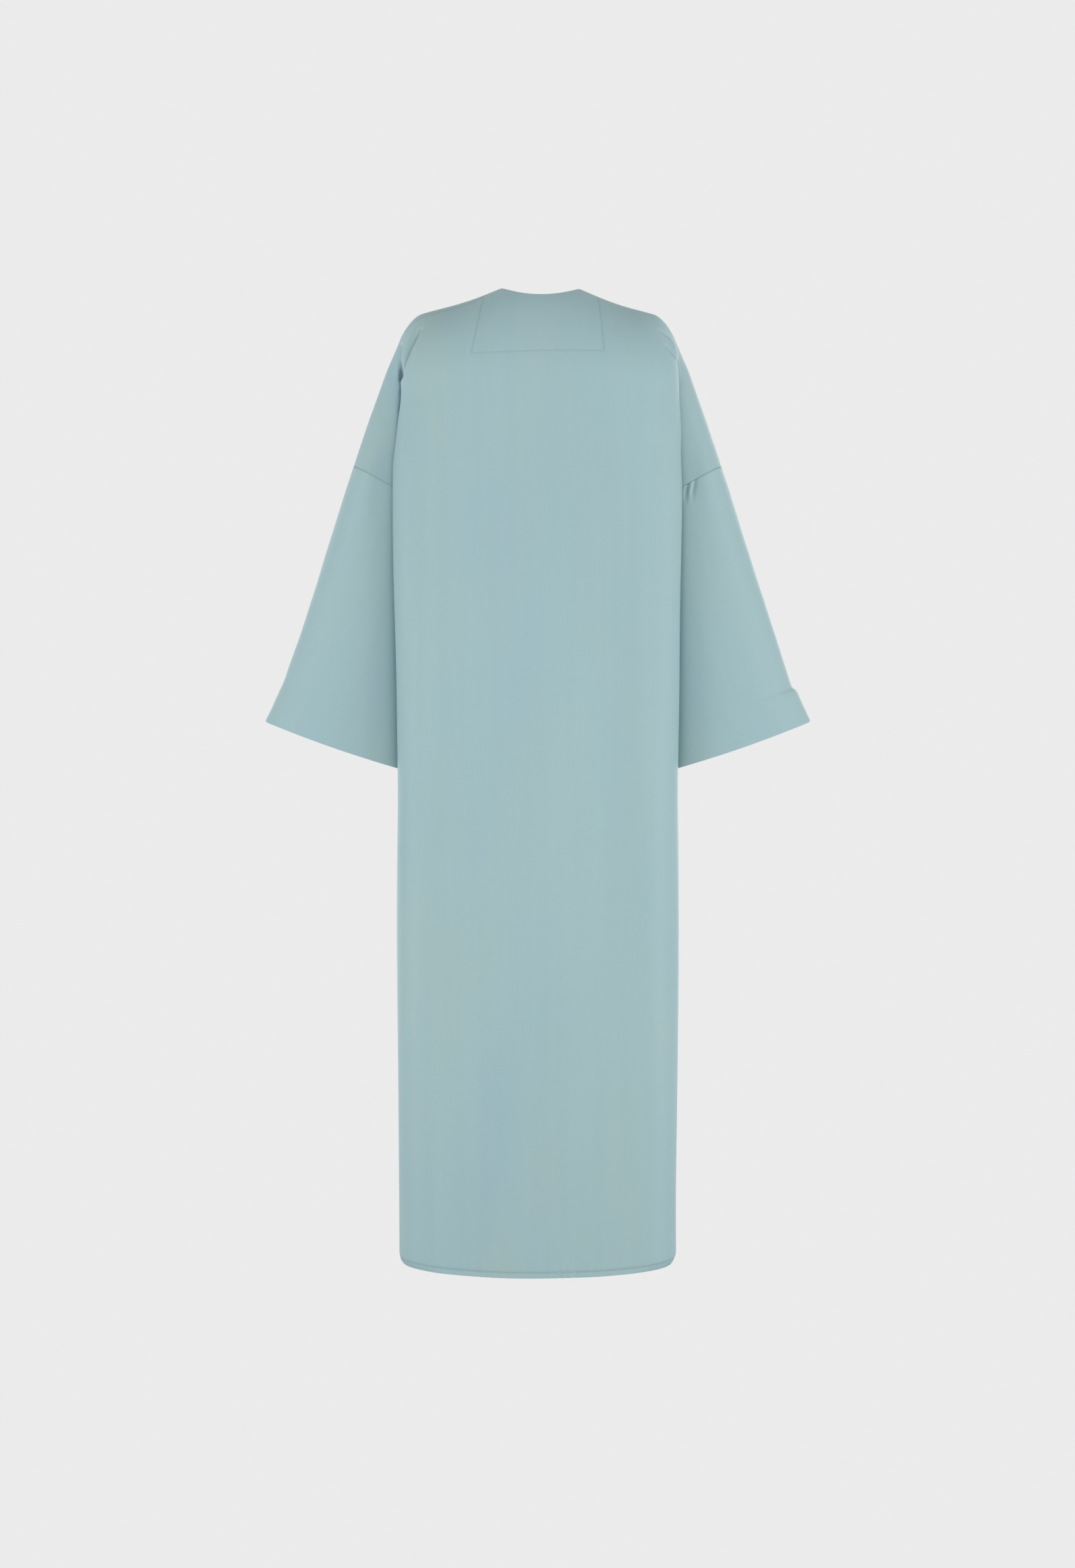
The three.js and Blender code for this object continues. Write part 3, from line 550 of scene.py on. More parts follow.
class ClothMesh:
    """A thin sheet made of grids of points. Points that coincide are sewn into one."""

    def __init__(self, name: str) -> None:
        """Starts an empty sheet with the name that its object takes."""
        self.name = name
        self.grids: list[tuple[Array, Array, Array, Array, bool]] = []

    def add(self, points: Array, pattern: Array, offset: Array, shade: Array, turned: bool) -> None:
        """Adds a grid.

        Args:
            points: Rows of places.
            pattern: The same places on the flat cloth.
            offset: How far each point moves out along the cloth's outward side.
            shade: How much painted shade darkens each point's colour, from 0 to 1.
            turned: Whether the rows run so that the outward side is the other one.
        """
        self.grids.append((points, pattern, offset, shade, turned))

    def _welded(self) -> tuple[Array, Array, Array, Array, list[tuple[int, ...]]]:
        """Returns places, pattern, offset, shade and faces after sewing equal points."""
        points = np.concatenate([grid[0].reshape(-1, 3) for grid in self.grids])
        pattern = np.concatenate([grid[1].reshape(-1, 2) for grid in self.grids])
        offset = np.concatenate([grid[2].reshape(-1) for grid in self.grids])
        shade = np.concatenate([grid[3].reshape(-1) for grid in self.grids])
        keys = np.round(points / 2e-5).astype(np.int64)
        _, first, back = np.unique(keys, axis=0, return_index=True, return_inverse=True)
        back = back.reshape(-1)
        faces: list[tuple[int, ...]] = []
        start = 0
        for grid in self.grids:
            rows, columns = grid[0].shape[:2]
            ids = back[start : start + rows * columns].reshape(rows, columns)
            start += rows * columns
            corners = [ids[:-1, :-1], ids[:-1, 1:], ids[1:, 1:], ids[1:, :-1]]
            quads = np.stack(corners[::-1] if grid[4] else corners, axis=-1).reshape(-1, 4)
            faces.extend(self._clean(quads))
        return points[first], pattern[first], offset[first], shade[first], faces

    @staticmethod
    def _clean(quads: Array) -> list[tuple[int, ...]]:
        """Returns faces with repeated corners dropped, and none with fewer than three."""
        faces = []
        for quad in quads.tolist():
            face = tuple(corner for k, corner in enumerate(quad) if corner != quad[k - 1])
            if len(set(face)) == len(face) and len(face) > 2:
                faces.append(face)
        return faces

    @staticmethod
    def _normals(points: Array, faces: list[tuple[int, ...]]) -> Array:
        """Returns the outward side at each point."""
        padded = np.array([face if len(face) == 4 else (*face, face[2]) for face in faces])
        cross = np.cross(
            points[padded[:, 2]] - points[padded[:, 0]],
            points[padded[:, 3]] - points[padded[:, 1]],
        )
        sums = np.zeros_like(points)
        for k in range(4):
            np.add.at(sums, padded[:, k], cross)
        return sums / np.maximum(np.linalg.norm(sums, axis=1, keepdims=True), 1e-12)

    def build(self, thickness: float, inset: float, settle: Callable[[Array], Array]) -> bpy.types.Object:
        """Makes the object: a closed shell round the sheet.

        Args:
            thickness: The cloth's thickness.
            inset: How far the shell's middle lies inside the sheet.
            settle: Moves every point as the whole gown settles.

        Returns:
            The new object, with its pattern map and painted-shade mask.
        """
        points, pattern, offset, shade, faces = self._welded()
        points = points + self._normals(points, faces) * offset[:, None]
        points = settle(points)
        normals = self._normals(points, faces)
        outer = points + normals * (thickness / 2.0 - inset)
        inner = points - normals * (thickness / 2.0 + inset)
        count = len(points)
        every = list(faces) + [tuple(corner + count for corner in reversed(face)) for face in faces]
        directed = {(a, b) for face in faces for a, b in zip(face, face[1:] + face[:1])}
        rim = [(b, a, a + count, b + count) for a, b in sorted(directed) if (b, a) not in directed]
        mesh = bpy.data.meshes.new(self.name)
        mesh.from_pydata(np.concatenate([outer, inner]).tolist(), [], every + rim)
        mesh.validate()
        mesh.shade_smooth()
        sharp = np.zeros(len(mesh.polygons), bool)
        sharp[len(every) :] = True
        mesh.polygons.foreach_set("use_smooth", ~sharp)
        flat = mesh.attributes.new(PATTERN_MAP, "FLOAT_VECTOR", "POINT")
        flat.data.foreach_set("vector", np.c_[np.tile(pattern, (2, 1)), np.zeros(2 * count)].ravel())
        # The painted-shade mask, which darkens the cloth's colour where shade would fall.
        mask = mesh.attributes.new(PAINTED_SHADE_MASK, "FLOAT", "POINT")
        mask.data.foreach_set("value", np.tile(shade, 2).astype(np.float32))
        mesh.update()
        piece = bpy.data.objects.new(self.name, mesh)
        bpy.context.scene.collection.objects.link(piece)
        return piece


def walked(points: Array, start: Array | float = 0.0) -> Array:
    """Returns how far each point of each row lies along its row, from start on."""
    steps = np.linalg.norm(np.diff(points, axis=1), axis=2)
    first = np.zeros((points.shape[0], 1))
    return np.concatenate([first, np.cumsum(steps, axis=1)], axis=1) + np.reshape(start, (-1, 1))


# ---------------------------------------------------------------- finishes


def rgb(red: float, green: float, blue: float) -> tuple[float, float, float, float]:
    """Returns a linear colour from display values out of 255."""

    def linear(value: float) -> float:
        """Returns one channel as linear light."""
        share = value / 255.0
        return share / 12.92 if share <= 0.04045 else ((share + 0.055) / 1.055) ** 2.4

    return (linear(red), linear(green), linear(blue), 1.0)


class NodeMaker:
    """Adds nodes to one tree and links them by the names of their sockets."""

    def __init__(self, tree: bpy.types.NodeTree) -> None:
        """Works on the given tree."""
        self.tree = tree

    def add(self, kind: str, inputs: dict | None = None, **settings: object) -> bpy.types.Node:
        """Adds a node.

        Args:
            kind: The node's type name.
            inputs: Values or output sockets for its inputs, by name or number.
            settings: Attributes of the node.

        Returns:
            The node.
        """
        node = self.tree.nodes.new(kind)
        for name, value in settings.items():
            setattr(node, name, value)
        for name, value in (inputs or {}).items():
            if isinstance(value, bpy.types.NodeSocket):
                self.tree.links.new(value, node.inputs[name])
            else:
                node.inputs[name].default_value = value
        return node

    def math(self, operation: str, a: object, b: object = 0.0, clamp: bool = False) -> bpy.types.NodeSocket:
        """Returns the result of a maths node on a and b, each a value or a socket."""
        node = self.add("ShaderNodeMath", {0: a, 1: b}, operation=operation, use_clamp=clamp)
        return node.outputs[0]

    def mix_colors(self, share: object, first: object, second: object) -> bpy.types.NodeSocket:
        """Returns the colour a share of the way from first to second."""
        node = self.add("ShaderNodeMix", {0: share, 6: first, 7: second}, data_type="RGBA")
        return node.outputs[2]


def new_group(name: str, inputs: dict[str, tuple[str, object]], outputs: dict[str, str]) -> tuple:
    """Starts a shader node group.

    Args:
        name: The group's name.
        inputs: Each input's socket type and default value.
        outputs: Each output's socket type.

    Returns:
        The group, its maker, its input node and its output node.
    """
    group = bpy.data.node_groups.new(name, "ShaderNodeTree")
    for label, (kind, value) in inputs.items():
        socket = group.interface.new_socket(name=label, in_out="INPUT", socket_type=kind)
        if value is not None:
            socket.default_value = value
    for label, kind in outputs.items():
        group.interface.new_socket(name=label, in_out="OUTPUT", socket_type=kind)
    maker = NodeMaker(group)
    return group, maker, maker.add("NodeGroupInput"), maker.add("NodeGroupOutput")


class ClothEffects:
    """The shader node groups that the cloth finishes share, each built once."""

    def __init__(self) -> None:
        """Builds the groups."""
        self.weave = self._weave()
        self.shading = self._shading()

    @staticmethod
    def _weave() -> bpy.types.NodeTree:
        """Returns the weave group: crossed threads with uneven thickness.

        Returns:
            A group with the inputs Pattern, Threads, Twill and Slub, and the outputs
            Height and Thread Mask.
        """
        inputs = {
            "Pattern": ("NodeSocketVector", None),
            "Threads": ("NodeSocketFloat", 1800.0),
            "Twill": ("NodeSocketFloat", 0.0),
            "Slub": ("NodeSocketFloat", 0.3),
        }
        outputs = {"Height": "NodeSocketFloat", "Thread Mask": "NodeSocketFloat"}
        group, make, source, target = new_group("weave", inputs, outputs)
        parts = make.add("ShaderNodeSeparateXYZ", {0: source.outputs["Pattern"]})
        turns = make.math("MULTIPLY", source.outputs["Threads"], 2.0 * math.pi)
        across = make.math("MULTIPLY", parts.outputs[0], turns)
        down = make.math("MULTIPLY", parts.outputs[1], turns)
        slant = make.math("MULTIPLY", down, source.outputs["Twill"])
        warp = make.math("SINE", make.math("ADD", across, slant))
        weft = make.math("SINE", make.math("MULTIPLY", down, 0.5))
        crossing = make.math("MULTIPLY", make.math("SINE", make.math("MULTIPLY", across, 0.5)), weft)
        stretch = make.add("ShaderNodeMapping", {0: source.outputs["Pattern"], "Scale": (900.0, 25.0, 1.0)})
        slubs = make.add("ShaderNodeTexNoise", {0: stretch.outputs[0], "Scale": 1.0, "Detail": 3.0})
        uneven = make.math("MULTIPLY", slubs.outputs["Fac"], source.outputs["Slub"])
        height = make.math("ADD", make.math("MULTIPLY", warp, 0.35), make.math("MULTIPLY", crossing, 0.5))
        make.tree.links.new(make.math("ADD", height, uneven), target.inputs["Height"])
        mask = make.math("ADD", make.math("MULTIPLY", warp, 0.25), slubs.outputs["Fac"], clamp=True)
        make.tree.links.new(mask, target.inputs["Thread Mask"])
        return group

    @staticmethod
    def _shading() -> bpy.types.NodeTree:
        """Returns the shading group: the slow drift of a dyed cloth's colour, darkened by painted shade
        where the shade mask is set.

        Returns:
            A group with the inputs Pattern, Base, Cool, Warm, Seam and Thread, and the
            outputs Color and Wear.
        """
        inputs = {
            "Pattern": ("NodeSocketVector", None),
            "Base": ("NodeSocketColor", (0.4, 0.5, 0.5, 1.0)),
            "Cool": ("NodeSocketColor", (0.4, 0.5, 0.5, 1.0)),
            "Warm": ("NodeSocketColor", (0.4, 0.5, 0.5, 1.0)),
            "Seam": ("NodeSocketFloat", 0.0),
            "Thread": ("NodeSocketFloat", 0.5),
        }
        outputs = {"Color": "NodeSocketColor", "Roughness Drift": "NodeSocketFloat"}
        group, make, source, target = new_group("dyed cloth shading", inputs, outputs)

        def drift(scale: tuple[float, float, float], low: float, high: float) -> bpy.types.NodeSocket:
            """Returns a stretched noise, spread from 0 to 1 between low and high."""
            place = make.add("ShaderNodeMapping", {0: source.outputs["Pattern"], "Scale": scale})
            noise = make.add("ShaderNodeTexNoise", {0: place.outputs[0], "Scale": 1.0, "Detail": 2.0})
            spread = make.add("ShaderNodeMapRange", {0: noise.outputs["Fac"], 1: low, 2: high})
            return spread.outputs[0]

        cool = drift((5.0, 1.6, 1.0), 0.35, 0.68)
        warm = drift((9.0, 2.6, 1.0), 0.42, 0.75)
        streak = drift((55.0, 2.0, 1.0), 0.30, 0.70)
        tint = make.mix_colors(cool, source.outputs["Base"], source.outputs["Cool"])
        tint = make.mix_colors(warm, tint, source.outputs["Warm"])
        thread = make.math("MULTIPLY", make.math("SUBTRACT", source.outputs["Thread"], 0.5), 0.050)
        light = make.math("ADD", make.math("MULTIPLY", streak, 0.020), thread)
        # Painted shade: the mask darkens the colour in seams, stitch grooves, creases and under the fold
        # edge.
        seam = make.math("MULTIPLY", source.outputs["Seam"], -0.42)
        value = make.math("ADD", make.math("ADD", light, seam), 0.99)
        shade = make.add("ShaderNodeHueSaturation", {"Color": tint, "Value": value})
        make.tree.links.new(shade.outputs[0], target.inputs["Color"])
        # The roughness drifts with the dye noise and rises where the painted shade is.
        roughness_drift = make.math("ADD", cool, source.outputs["Seam"], clamp=True)
        make.tree.links.new(roughness_drift, target.inputs["Roughness Drift"])
        return group


@dataclass(frozen=True)
class ClothFinish:
    """A dyed, woven cloth."""

    name: str
    base: tuple[float, float, float, float]
    cool: tuple[float, float, float, float]
    warm: tuple[float, float, float, float]
    roughness: float = 0.56
    sheen: float = 0.10
    threads: float = 1500.0
    twill: float = 0.0
    slub: float = 0.35
    bump: float = 0.10
    bump_depth: float = 0.00012

    def material(self, effects: ClothEffects) -> bpy.types.Material:
        """Makes the material.

        Args:
            effects: The shared node groups.

        Returns:
            The material, with its colour, roughness and bump from the weave.
        """
        material = bpy.data.materials.new(self.name)
        material.use_nodes = True
        make = NodeMaker(material.node_tree)
        shader = material.node_tree.nodes["Principled BSDF"]
        shader.inputs["Sheen Weight"].default_value = self.sheen
        shader.inputs["Sheen Roughness"].default_value = 0.45
        shader.inputs["Specular IOR Level"].default_value = 0.35
        place = make.add("ShaderNodeAttribute", attribute_name=PATTERN_MAP)
        # The painted-shade mask, which darkens the colour in seams and creases.
        seam = make.add("ShaderNodeAttribute", attribute_name=PAINTED_SHADE_MASK)
        weave = make.add("ShaderNodeGroup", node_tree=effects.weave)
        values = {"Threads": self.threads, "Twill": self.twill, "Slub": self.slub}
        for label, value in values.items():
            weave.inputs[label].default_value = value
        shading = make.add("ShaderNodeGroup", node_tree=effects.shading)
        for label, value in {"Base": self.base, "Cool": self.cool, "Warm": self.warm}.items():
            shading.inputs[label].default_value = value
        link = material.node_tree.links.new
        link(place.outputs["Vector"], weave.inputs["Pattern"])
        link(place.outputs["Vector"], shading.inputs["Pattern"])
        link(seam.outputs["Fac"], shading.inputs["Seam"])
        link(weave.outputs["Thread Mask"], shading.inputs["Thread"])
        link(shading.outputs["Color"], shader.inputs["Base Color"])
        rough = make.add(
            "ShaderNodeMapRange",
            {0: shading.outputs["Roughness Drift"], 3: self.roughness - 0.04, 4: self.roughness + 0.05},
        )
        link(rough.outputs[0], shader.inputs["Roughness"])
        relief = make.add(
            "ShaderNodeBump",
            {"Strength": self.bump, "Distance": self.bump_depth, "Height": weave.outputs["Height"]},
        )
        link(relief.outputs[0], shader.inputs["Normal"])
        return material


@dataclass(frozen=True)
class HardFinish:
    """A small moulded or plated piece."""

    name: str
    color: tuple[float, float, float, float]
    roughness: float
    metallic: float = 0.0
    coat: float = 0.0
    grain: float = 900.0

    def material(self) -> bpy.types.Material:
        """Returns the material, whose roughness and height vary with a fine grain."""
        material = bpy.data.materials.new(self.name)
        material.use_nodes = True
        make = NodeMaker(material.node_tree)
        shader = material.node_tree.nodes["Principled BSDF"]
        shader.inputs["Metallic"].default_value = self.metallic
        shader.inputs["Coat Weight"].default_value = self.coat
        place = make.add("ShaderNodeTexCoord")
        noise = make.add(
            "ShaderNodeTexNoise",
            {0: place.outputs["Object"], "Scale": self.grain, "Detail": 3.0},
        )
        link = material.node_tree.links.new
        rough = make.add(
            "ShaderNodeMapRange",
            {0: noise.outputs["Fac"], 3: self.roughness - 0.06, 4: self.roughness + 0.08},
        )
        link(rough.outputs[0], shader.inputs["Roughness"])
        darker = tuple(channel * 0.86 for channel in self.color[:3]) + (1.0,)
        tint = make.mix_colors(noise.outputs["Fac"], darker, self.color)
        link(tint, shader.inputs["Base Color"])
        relief = make.add(
            "ShaderNodeBump",
            {"Strength": 0.08, "Distance": 0.0001, "Height": noise.outputs["Fac"]},
        )
        link(relief.outputs[0], shader.inputs["Normal"])
        return material


class Wardrobe:
    """Every finish of the gown, made once."""

    def __init__(self) -> None:
        """Makes the materials."""
        effects = ClothEffects()
        teal, cool, warm = rgb(161, 190, 192), rgb(156, 186, 193), rgb(162, 188, 188)
        self.gown = ClothFinish("gown satin", teal, cool, warm).material(effects)
        self.facing = ClothFinish("facing cloth", cool, teal, warm, roughness=0.64).material(effects)
        self.hem = ClothFinish("hem cloth", teal, warm, cool, roughness=0.62).material(effects)
        self.tape = ClothFinish(
            "stay tape", rgb(154, 183, 186), rgb(150, 178, 184), teal,
            roughness=0.72, threads=1100.0, twill=0.6, bump=0.35, bump_depth=0.0003,
        ).material(effects)
        self.label = ClothFinish(
            "label satin", rgb(238, 238, 232), rgb(230, 232, 230), rgb(240, 236, 228),
            roughness=0.45, threads=1400.0, bump=0.2,
        ).material(effects)
        self.thread = ClothFinish(
            "sewing thread", rgb(150, 181, 186), rgb(144, 175, 182), teal,
            roughness=0.6, threads=2600.0, twill=1.0, bump=0.3,
        ).material(effects)
        self.resin = HardFinish("stud resin", rgb(154, 184, 188), 0.34, coat=0.2).material()
        self.metal = HardFinish(
            "stud metal", rgb(200, 204, 206), 0.30, metallic=1.0, grain=1400.0
        ).material()


def dress(
    piece: bpy.types.Object, material: bpy.types.Material, body: str | None
) -> bpy.types.Object:
    """Gives a piece its finish and the body that it rides on.

    Args:
        piece: The piece.
        material: Its finish.
        body: The body, or None for a piece that spans two and is left unattached.

    Returns:
        The same piece.
    """
    piece.data.materials.clear()
    piece.data.materials.append(material)
    if body:
        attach(piece, body)
    log.info("%s: %d faces", piece.name, len(piece.data.polygons))
    return piece


# ---------------------------------------------------------------- the body of the gown


@dataclass
class HalfPanel:
    """One half of a body panel, as rows of places from the shoulder line to the hem."""

    panel: Panel
    side: Side
    level: Array
    edge: Array
    x: Array
    y: Array
    z: Array
    arm_rows: int

    @property
    def sign(self) -> int:
        """The side's sign along X."""
        return self.side.value

    @property
    def turned(self) -> bool:
        """Whether its rows run so that the outward side is the other one."""
        return self.panel.face.value * self.sign < 0


@dataclass
class BodyWeaver:
    """Makes the sheets of the gown's body: halves of panels, facings and hems."""

    cut: Cut
    drape: Drape
    flat_step: float = 0.0065
    fine_columns: tuple[tuple[float, float, float], ...] = ((0.034, 0.022, 0.0022), (0.090, 0.009, 0.0011))
    corner_columns: int = 30
    strip_columns: int = 5
    lobe_columns: int = 24
    side_columns: int = 10
    strip_share: float = 0.10
    calm_reach: float = 0.02
    fold_starts: float = 0.088
    fold_full: float = 0.145
    left_under: float = 0.0075
    right_under: float = 0.0025
    # Painted shade: a dark line under the body's fold edge on each side, and along the side seam.
    left_fold_shade: float = 1.0
    right_fold_shade: float = 0.25
    side_seam_shade: float = 0.25
    side_seam_reach: float = 0.0014

    def upper_rows(self) -> Array:
        """Returns shares of the way from the shoulder line to the yoke's foot, finer at seams."""
        arc = 1.0 - np.cos(np.linspace(0.0, math.pi / 2.0, 62))
        foot = np.linspace(0.64, 0.73, 9)
        arc = arc[(arc < 0.635) | (arc > 0.735)]
        return np.sort(np.concatenate([arc, foot]))

    def lower_levels(self) -> Array:
        """Returns levels from the yoke's foot to the hem, finer at the armhole and the hem."""
        cut = self.cut
        upper = paced(cut.yoke, cut.root_level, 0.0055, [(cut.root_level, 0.004, 0.0014)])[1:]
        hem = (self.drape.hem_stitch_level, 0.006, 0.0014)
        lower = paced(cut.root_level, cut.length, 0.0125, [hem])[1:]
        return np.concatenate([upper, lower])

    def sheet_y(self, x: Array, z: Array, edge: Array, panel: Panel) -> Array:
        """Returns the plain depth of a panel's sheet at x and z, on rows with those fold edges."""
        cut = self.cut
        top = cut.shoulder_z(x)
        down = np.clip((top - z) / (top + cut.yoke) / panel.full_at, 0.0, 1.0)
        into = np.clip((np.abs(x) - edge + cut.corner) / cut.corner, 0.0, 1.0)
        full = cut.fold_depth + (panel.depth - cut.fold_depth) * np.sqrt(1.0 - into**2)
        start = cut.seam_y(x) + panel.face.value * cut.seam_gap / 2.0
        return lerp(start, panel.face.value * full, np.sqrt(1.0 - (1.0 - down) ** 2))

    def smooth_y(
        self, x: Array, z: Array, fold: Array, edge: Array, panel: Panel
    ) -> Array:
        """Returns the depth where the shoulder still runs on into the arm without a fold."""
        cut, fold_x, fold_z = self.cut, fold[..., 0], fold[..., 1]
        span = np.maximum(fold_x - edge, 1e-6)
        beyond = np.clip((x - edge) / span, 0.0, 1.0)
        top = lerp(cut.shoulder_z(np.minimum(x, edge)), fold_z, beyond)
        down = np.clip((top - z) / np.maximum(top + cut.yoke, 1e-3) / panel.full_at, 0.0, 1.0)
        start_x = edge - cut.corner
        into = np.clip((x - start_x) / (fold_x - start_x), 0.0, 1.0)
        full = panel.depth * np.sqrt(1.0 - into**2) + cut.seam_gap / 2.0
        start = cut.seam_y(x) + panel.face.value * cut.seam_gap / 2.0
        return lerp(start, panel.face.value * full, np.sqrt(1.0 - (1.0 - down) ** 2))

    def arm_y(self, place: Array, s: Array, q: Array, side: Side) -> Array:
        """Returns the half depth of the dropped shoulder at x, z places, q in from its fold."""
        cut = self.cut
        from_end = place - cut.shoulder_end
        s_here = from_end @ cut.along
        width = np.maximum(cut.sleeve_width(s_here), 1e-4)
        w_here = from_end @ cut.across
        w_here = w_here + cut.bow(s_here, side) * cut.bow_share(w_here / width)
        tube = cut.arm_profile(w_here / width)
        lobe = np.sqrt(1.0 - (1.0 - q) ** 2)
        share = (s / cut.drop) ** 2
        return cut.seam_gap / 2.0 + cut.arm_half_depth(s_here) * lerp(lobe, tube, share)

    def half(
        self,
        mesh: ClothMesh,
        panel: Panel,
        side: Side,
        neck_z: Callable[[Array], Array],
        inner_x: float,
    ) -> None:
        """Adds one half of a body panel to a mesh.

        Args:
            mesh: The mesh that the grids go to.
            panel: Which panel it is.
            side: The wearer's side.
            neck_z: The height of its neckline at x.
            inner_x: x of its inner line, negative where it passes the centre.
        """
        part = self.rows_of(panel, side, neck_z, inner_x)
        arm, folded = self.dropped_shoulder(part)
        reach = self.add_sheet(mesh, part)
        self.add_arm(mesh, part, arm, folded, reach)
        self.add_side(mesh, part, reach)

    def rows_of(
        self, panel: Panel, side: Side, neck_z: Callable[[Array], Array], inner_x: float
    ) -> HalfPanel:
        """Returns the rows of one half of a panel, with the arguments that half takes."""
        cut, rows, lower = self.cut, self.upper_rows(), self.lower_levels()
        level = np.concatenate([lerp(-cut.shoulder_end[1], cut.yoke, rows), lower])
        edge = cut.edge(level, side)[:, None]
        flat_end = edge - cut.corner
        flat_width = cut.shoulder_half - cut.corner
        flat_share = paced(inner_x, flat_width, self.flat_step, self.fine_columns)
        flat_share = (flat_share - inner_x) / (flat_width - inner_x)
        flat = lerp(inner_x, flat_end, flat_share)
        angles = np.linspace(0.0, math.pi / 2.0, self.corner_columns + 1)[1:]
        x = np.concatenate([flat, flat_end + cut.corner * np.sin(angles)], axis=1)
        top = np.where(np.abs(x) < cut.neck_half, neck_z(x), cut.shoulder_z(x))
        t = np.concatenate([rows, np.ones(len(lower))])[:, None]
        below = np.concatenate([np.zeros(len(rows)), lower - cut.yoke])[:, None]
        z = lerp(top, -cut.yoke, t) - below
        y = self.sheet_y(x, z, edge, panel)
        arm_rows = int(np.searchsorted(level, cut.root_level - 1e-9)) + 1
        return HalfPanel(panel, side, level, edge, x, y, z, arm_rows)

    @property
    def strip_places(self) -> Array:
        """Shares of the way across the strip between the fold edge and the arm."""
        return np.linspace(0.0, 1.0, self.strip_columns + 2)[None, :-1]

    @property
    def lobe_places(self) -> Array:
        """Shares of the way in from the arm's fold, starting at the body."""
        return 1.0 - np.sin(np.linspace(0.0, math.pi / 2.0, self.lobe_columns))[None, :]

    def tucked_arm(self, part: HalfPanel, s: Array, fold: Array) -> Array:
        """Returns the dropped shoulder as it lies where it tucks in beside the body."""
        cut, q, tau = self.cut, self.lobe_places, self.strip_places
        under = self.left_under if part.side is Side.LEFT else self.right_under
        edge, level = part.edge[: part.arm_rows], part.level[: part.arm_rows, None]
        root_drop = under * math.tan(cut.armhole_slope) * (s / cut.drop) ** 2
        root = np.stack([edge - under, -level - root_drop], axis=-1)
        place = fold + (root - fold) * q[..., None]
        lobe_y = part.panel.face.value * self.arm_y(place, s, q, part.side)
        edge_y = part.y[: part.arm_rows, -1:]
        strip_x = edge - under * smooth(tau[:, 1:])
        strip_y = lerp(edge_y, lobe_y[:, :1], tau[:, 1:])
        x = np.concatenate([edge, strip_x, place[..., 0]], axis=1)
        y = np.concatenate([edge_y, strip_y, lobe_y], axis=1)
        z = np.concatenate([-level - root_drop * tau, place[..., 1]], axis=1)
        return np.stack([x, y, z], axis=-1)

    def plain_arm(self, part: HalfPanel, fold: Array) -> Array:
        """Returns the dropped shoulder as it lies where it runs on from the body unfolded."""
        edge, level = part.edge[: part.arm_rows], part.level[: part.arm_rows, None]
        strip = self.strip_share
        run = [self.strip_places * strip, strip + (1.0 - strip) * (1.0 - self.lobe_places)]
        run = np.concatenate(run, axis=1)
        x = edge + (fold[..., 0] - edge) * run
        z = -level + (fold[..., 1] + level) * run
        return np.stack([x, self.smooth_y(x, z, fold, edge, part.panel), z], axis=-1)

    def dropped_shoulder(self, part: HalfPanel) -> tuple[Array, Array]:
        """Makes the dropped shoulder, and draws the sheet's corner on to meet it.

        Args:
            part: The half of the panel. Its depths change where the shoulder is unfolded.

        Returns:
            The dropped shoulder's places, and how folded each of its rows is.
        """
        cut, rows, level = self.cut, slice(part.arm_rows), part.level[: part.arm_rows, None]
        tip = -cut.shoulder_end[1]
        s = cut.drop * (level - tip) / (cut.root_level - tip)
        fold = cut.bowed_place(s, np.zeros_like(s), part.side)
        tucked, plain = self.tucked_arm(part, s, fold), self.plain_arm(part, fold)
        folded = smooth((level - self.fold_starts) / (self.fold_full - self.fold_starts))
        corner_y = self.smooth_y(part.x[rows], part.z[rows], fold, part.edge[rows], part.panel)
        part.y[rows] = lerp(corner_y, part.y[rows], folded)
        arm = lerp(plain, tucked, folded[..., None])
        arm[:, 0] = np.stack([part.x[rows, -1], part.y[rows, -1], part.z[rows, -1]], axis=-1)
        arm[0] = arm[0, 0]
        return arm, folded

    def add_sheet(self, mesh: ClothMesh, part: HalfPanel) -> Array:
        """Adds the sheet out to the fold edge and returns how far along the cloth it runs."""
        sheet = np.stack([part.sign * part.x, part.y, part.z], axis=-1)
        reach = walked(sheet, part.x[:, 0])
        pattern = np.stack([part.sign * reach, part.z], axis=-1)
        offset, shade = self.offsets(sheet, part.panel.face)
        mesh.add(sheet, pattern, offset, shade, part.turned)
        return reach

    def add_arm(
        self, mesh: ClothMesh, part: HalfPanel, arm: Array, folded: Array, reach: Array
    ) -> None:
        """Adds the dropped shoulder, down to the armhole seam.

        Args:
            mesh: The mesh that the grid goes to.
            part: The half of the panel.
            arm: The dropped shoulder's places on the wearer's left.
            folded: How folded each row is.
            reach: How far along the cloth the sheet runs.
        """
        arm = arm * np.array([part.sign, 1.0, 1.0])
        reach_arm = walked(arm, reach[: part.arm_rows, -1])
        offset, shade = self.offsets(arm, part.panel.face)
        seam_distance = self.armhole_distance(arm)
        dip = bump(seam_distance, SEAM_REACH)
        offset = offset * smooth(seam_distance / self.calm_reach) - SEAM_DIP * dip
        # Painted shade under the tucked fold edge and along the armhole seam.
        deepest = self.left_fold_shade if part.side is Side.LEFT else self.right_fold_shade
        strip = np.sin(np.pi * self.strip_places[0]) * deepest
        under_edge = np.concatenate([strip, np.zeros(self.lobe_columns)])
        shade = np.maximum(np.maximum(shade, dip * SEAM_SHADE), under_edge[None, :] * folded)
        pattern = np.stack([part.sign * reach_arm, arm[..., 2]], axis=-1)
        mesh.add(arm, pattern, offset, shade, part.turned)

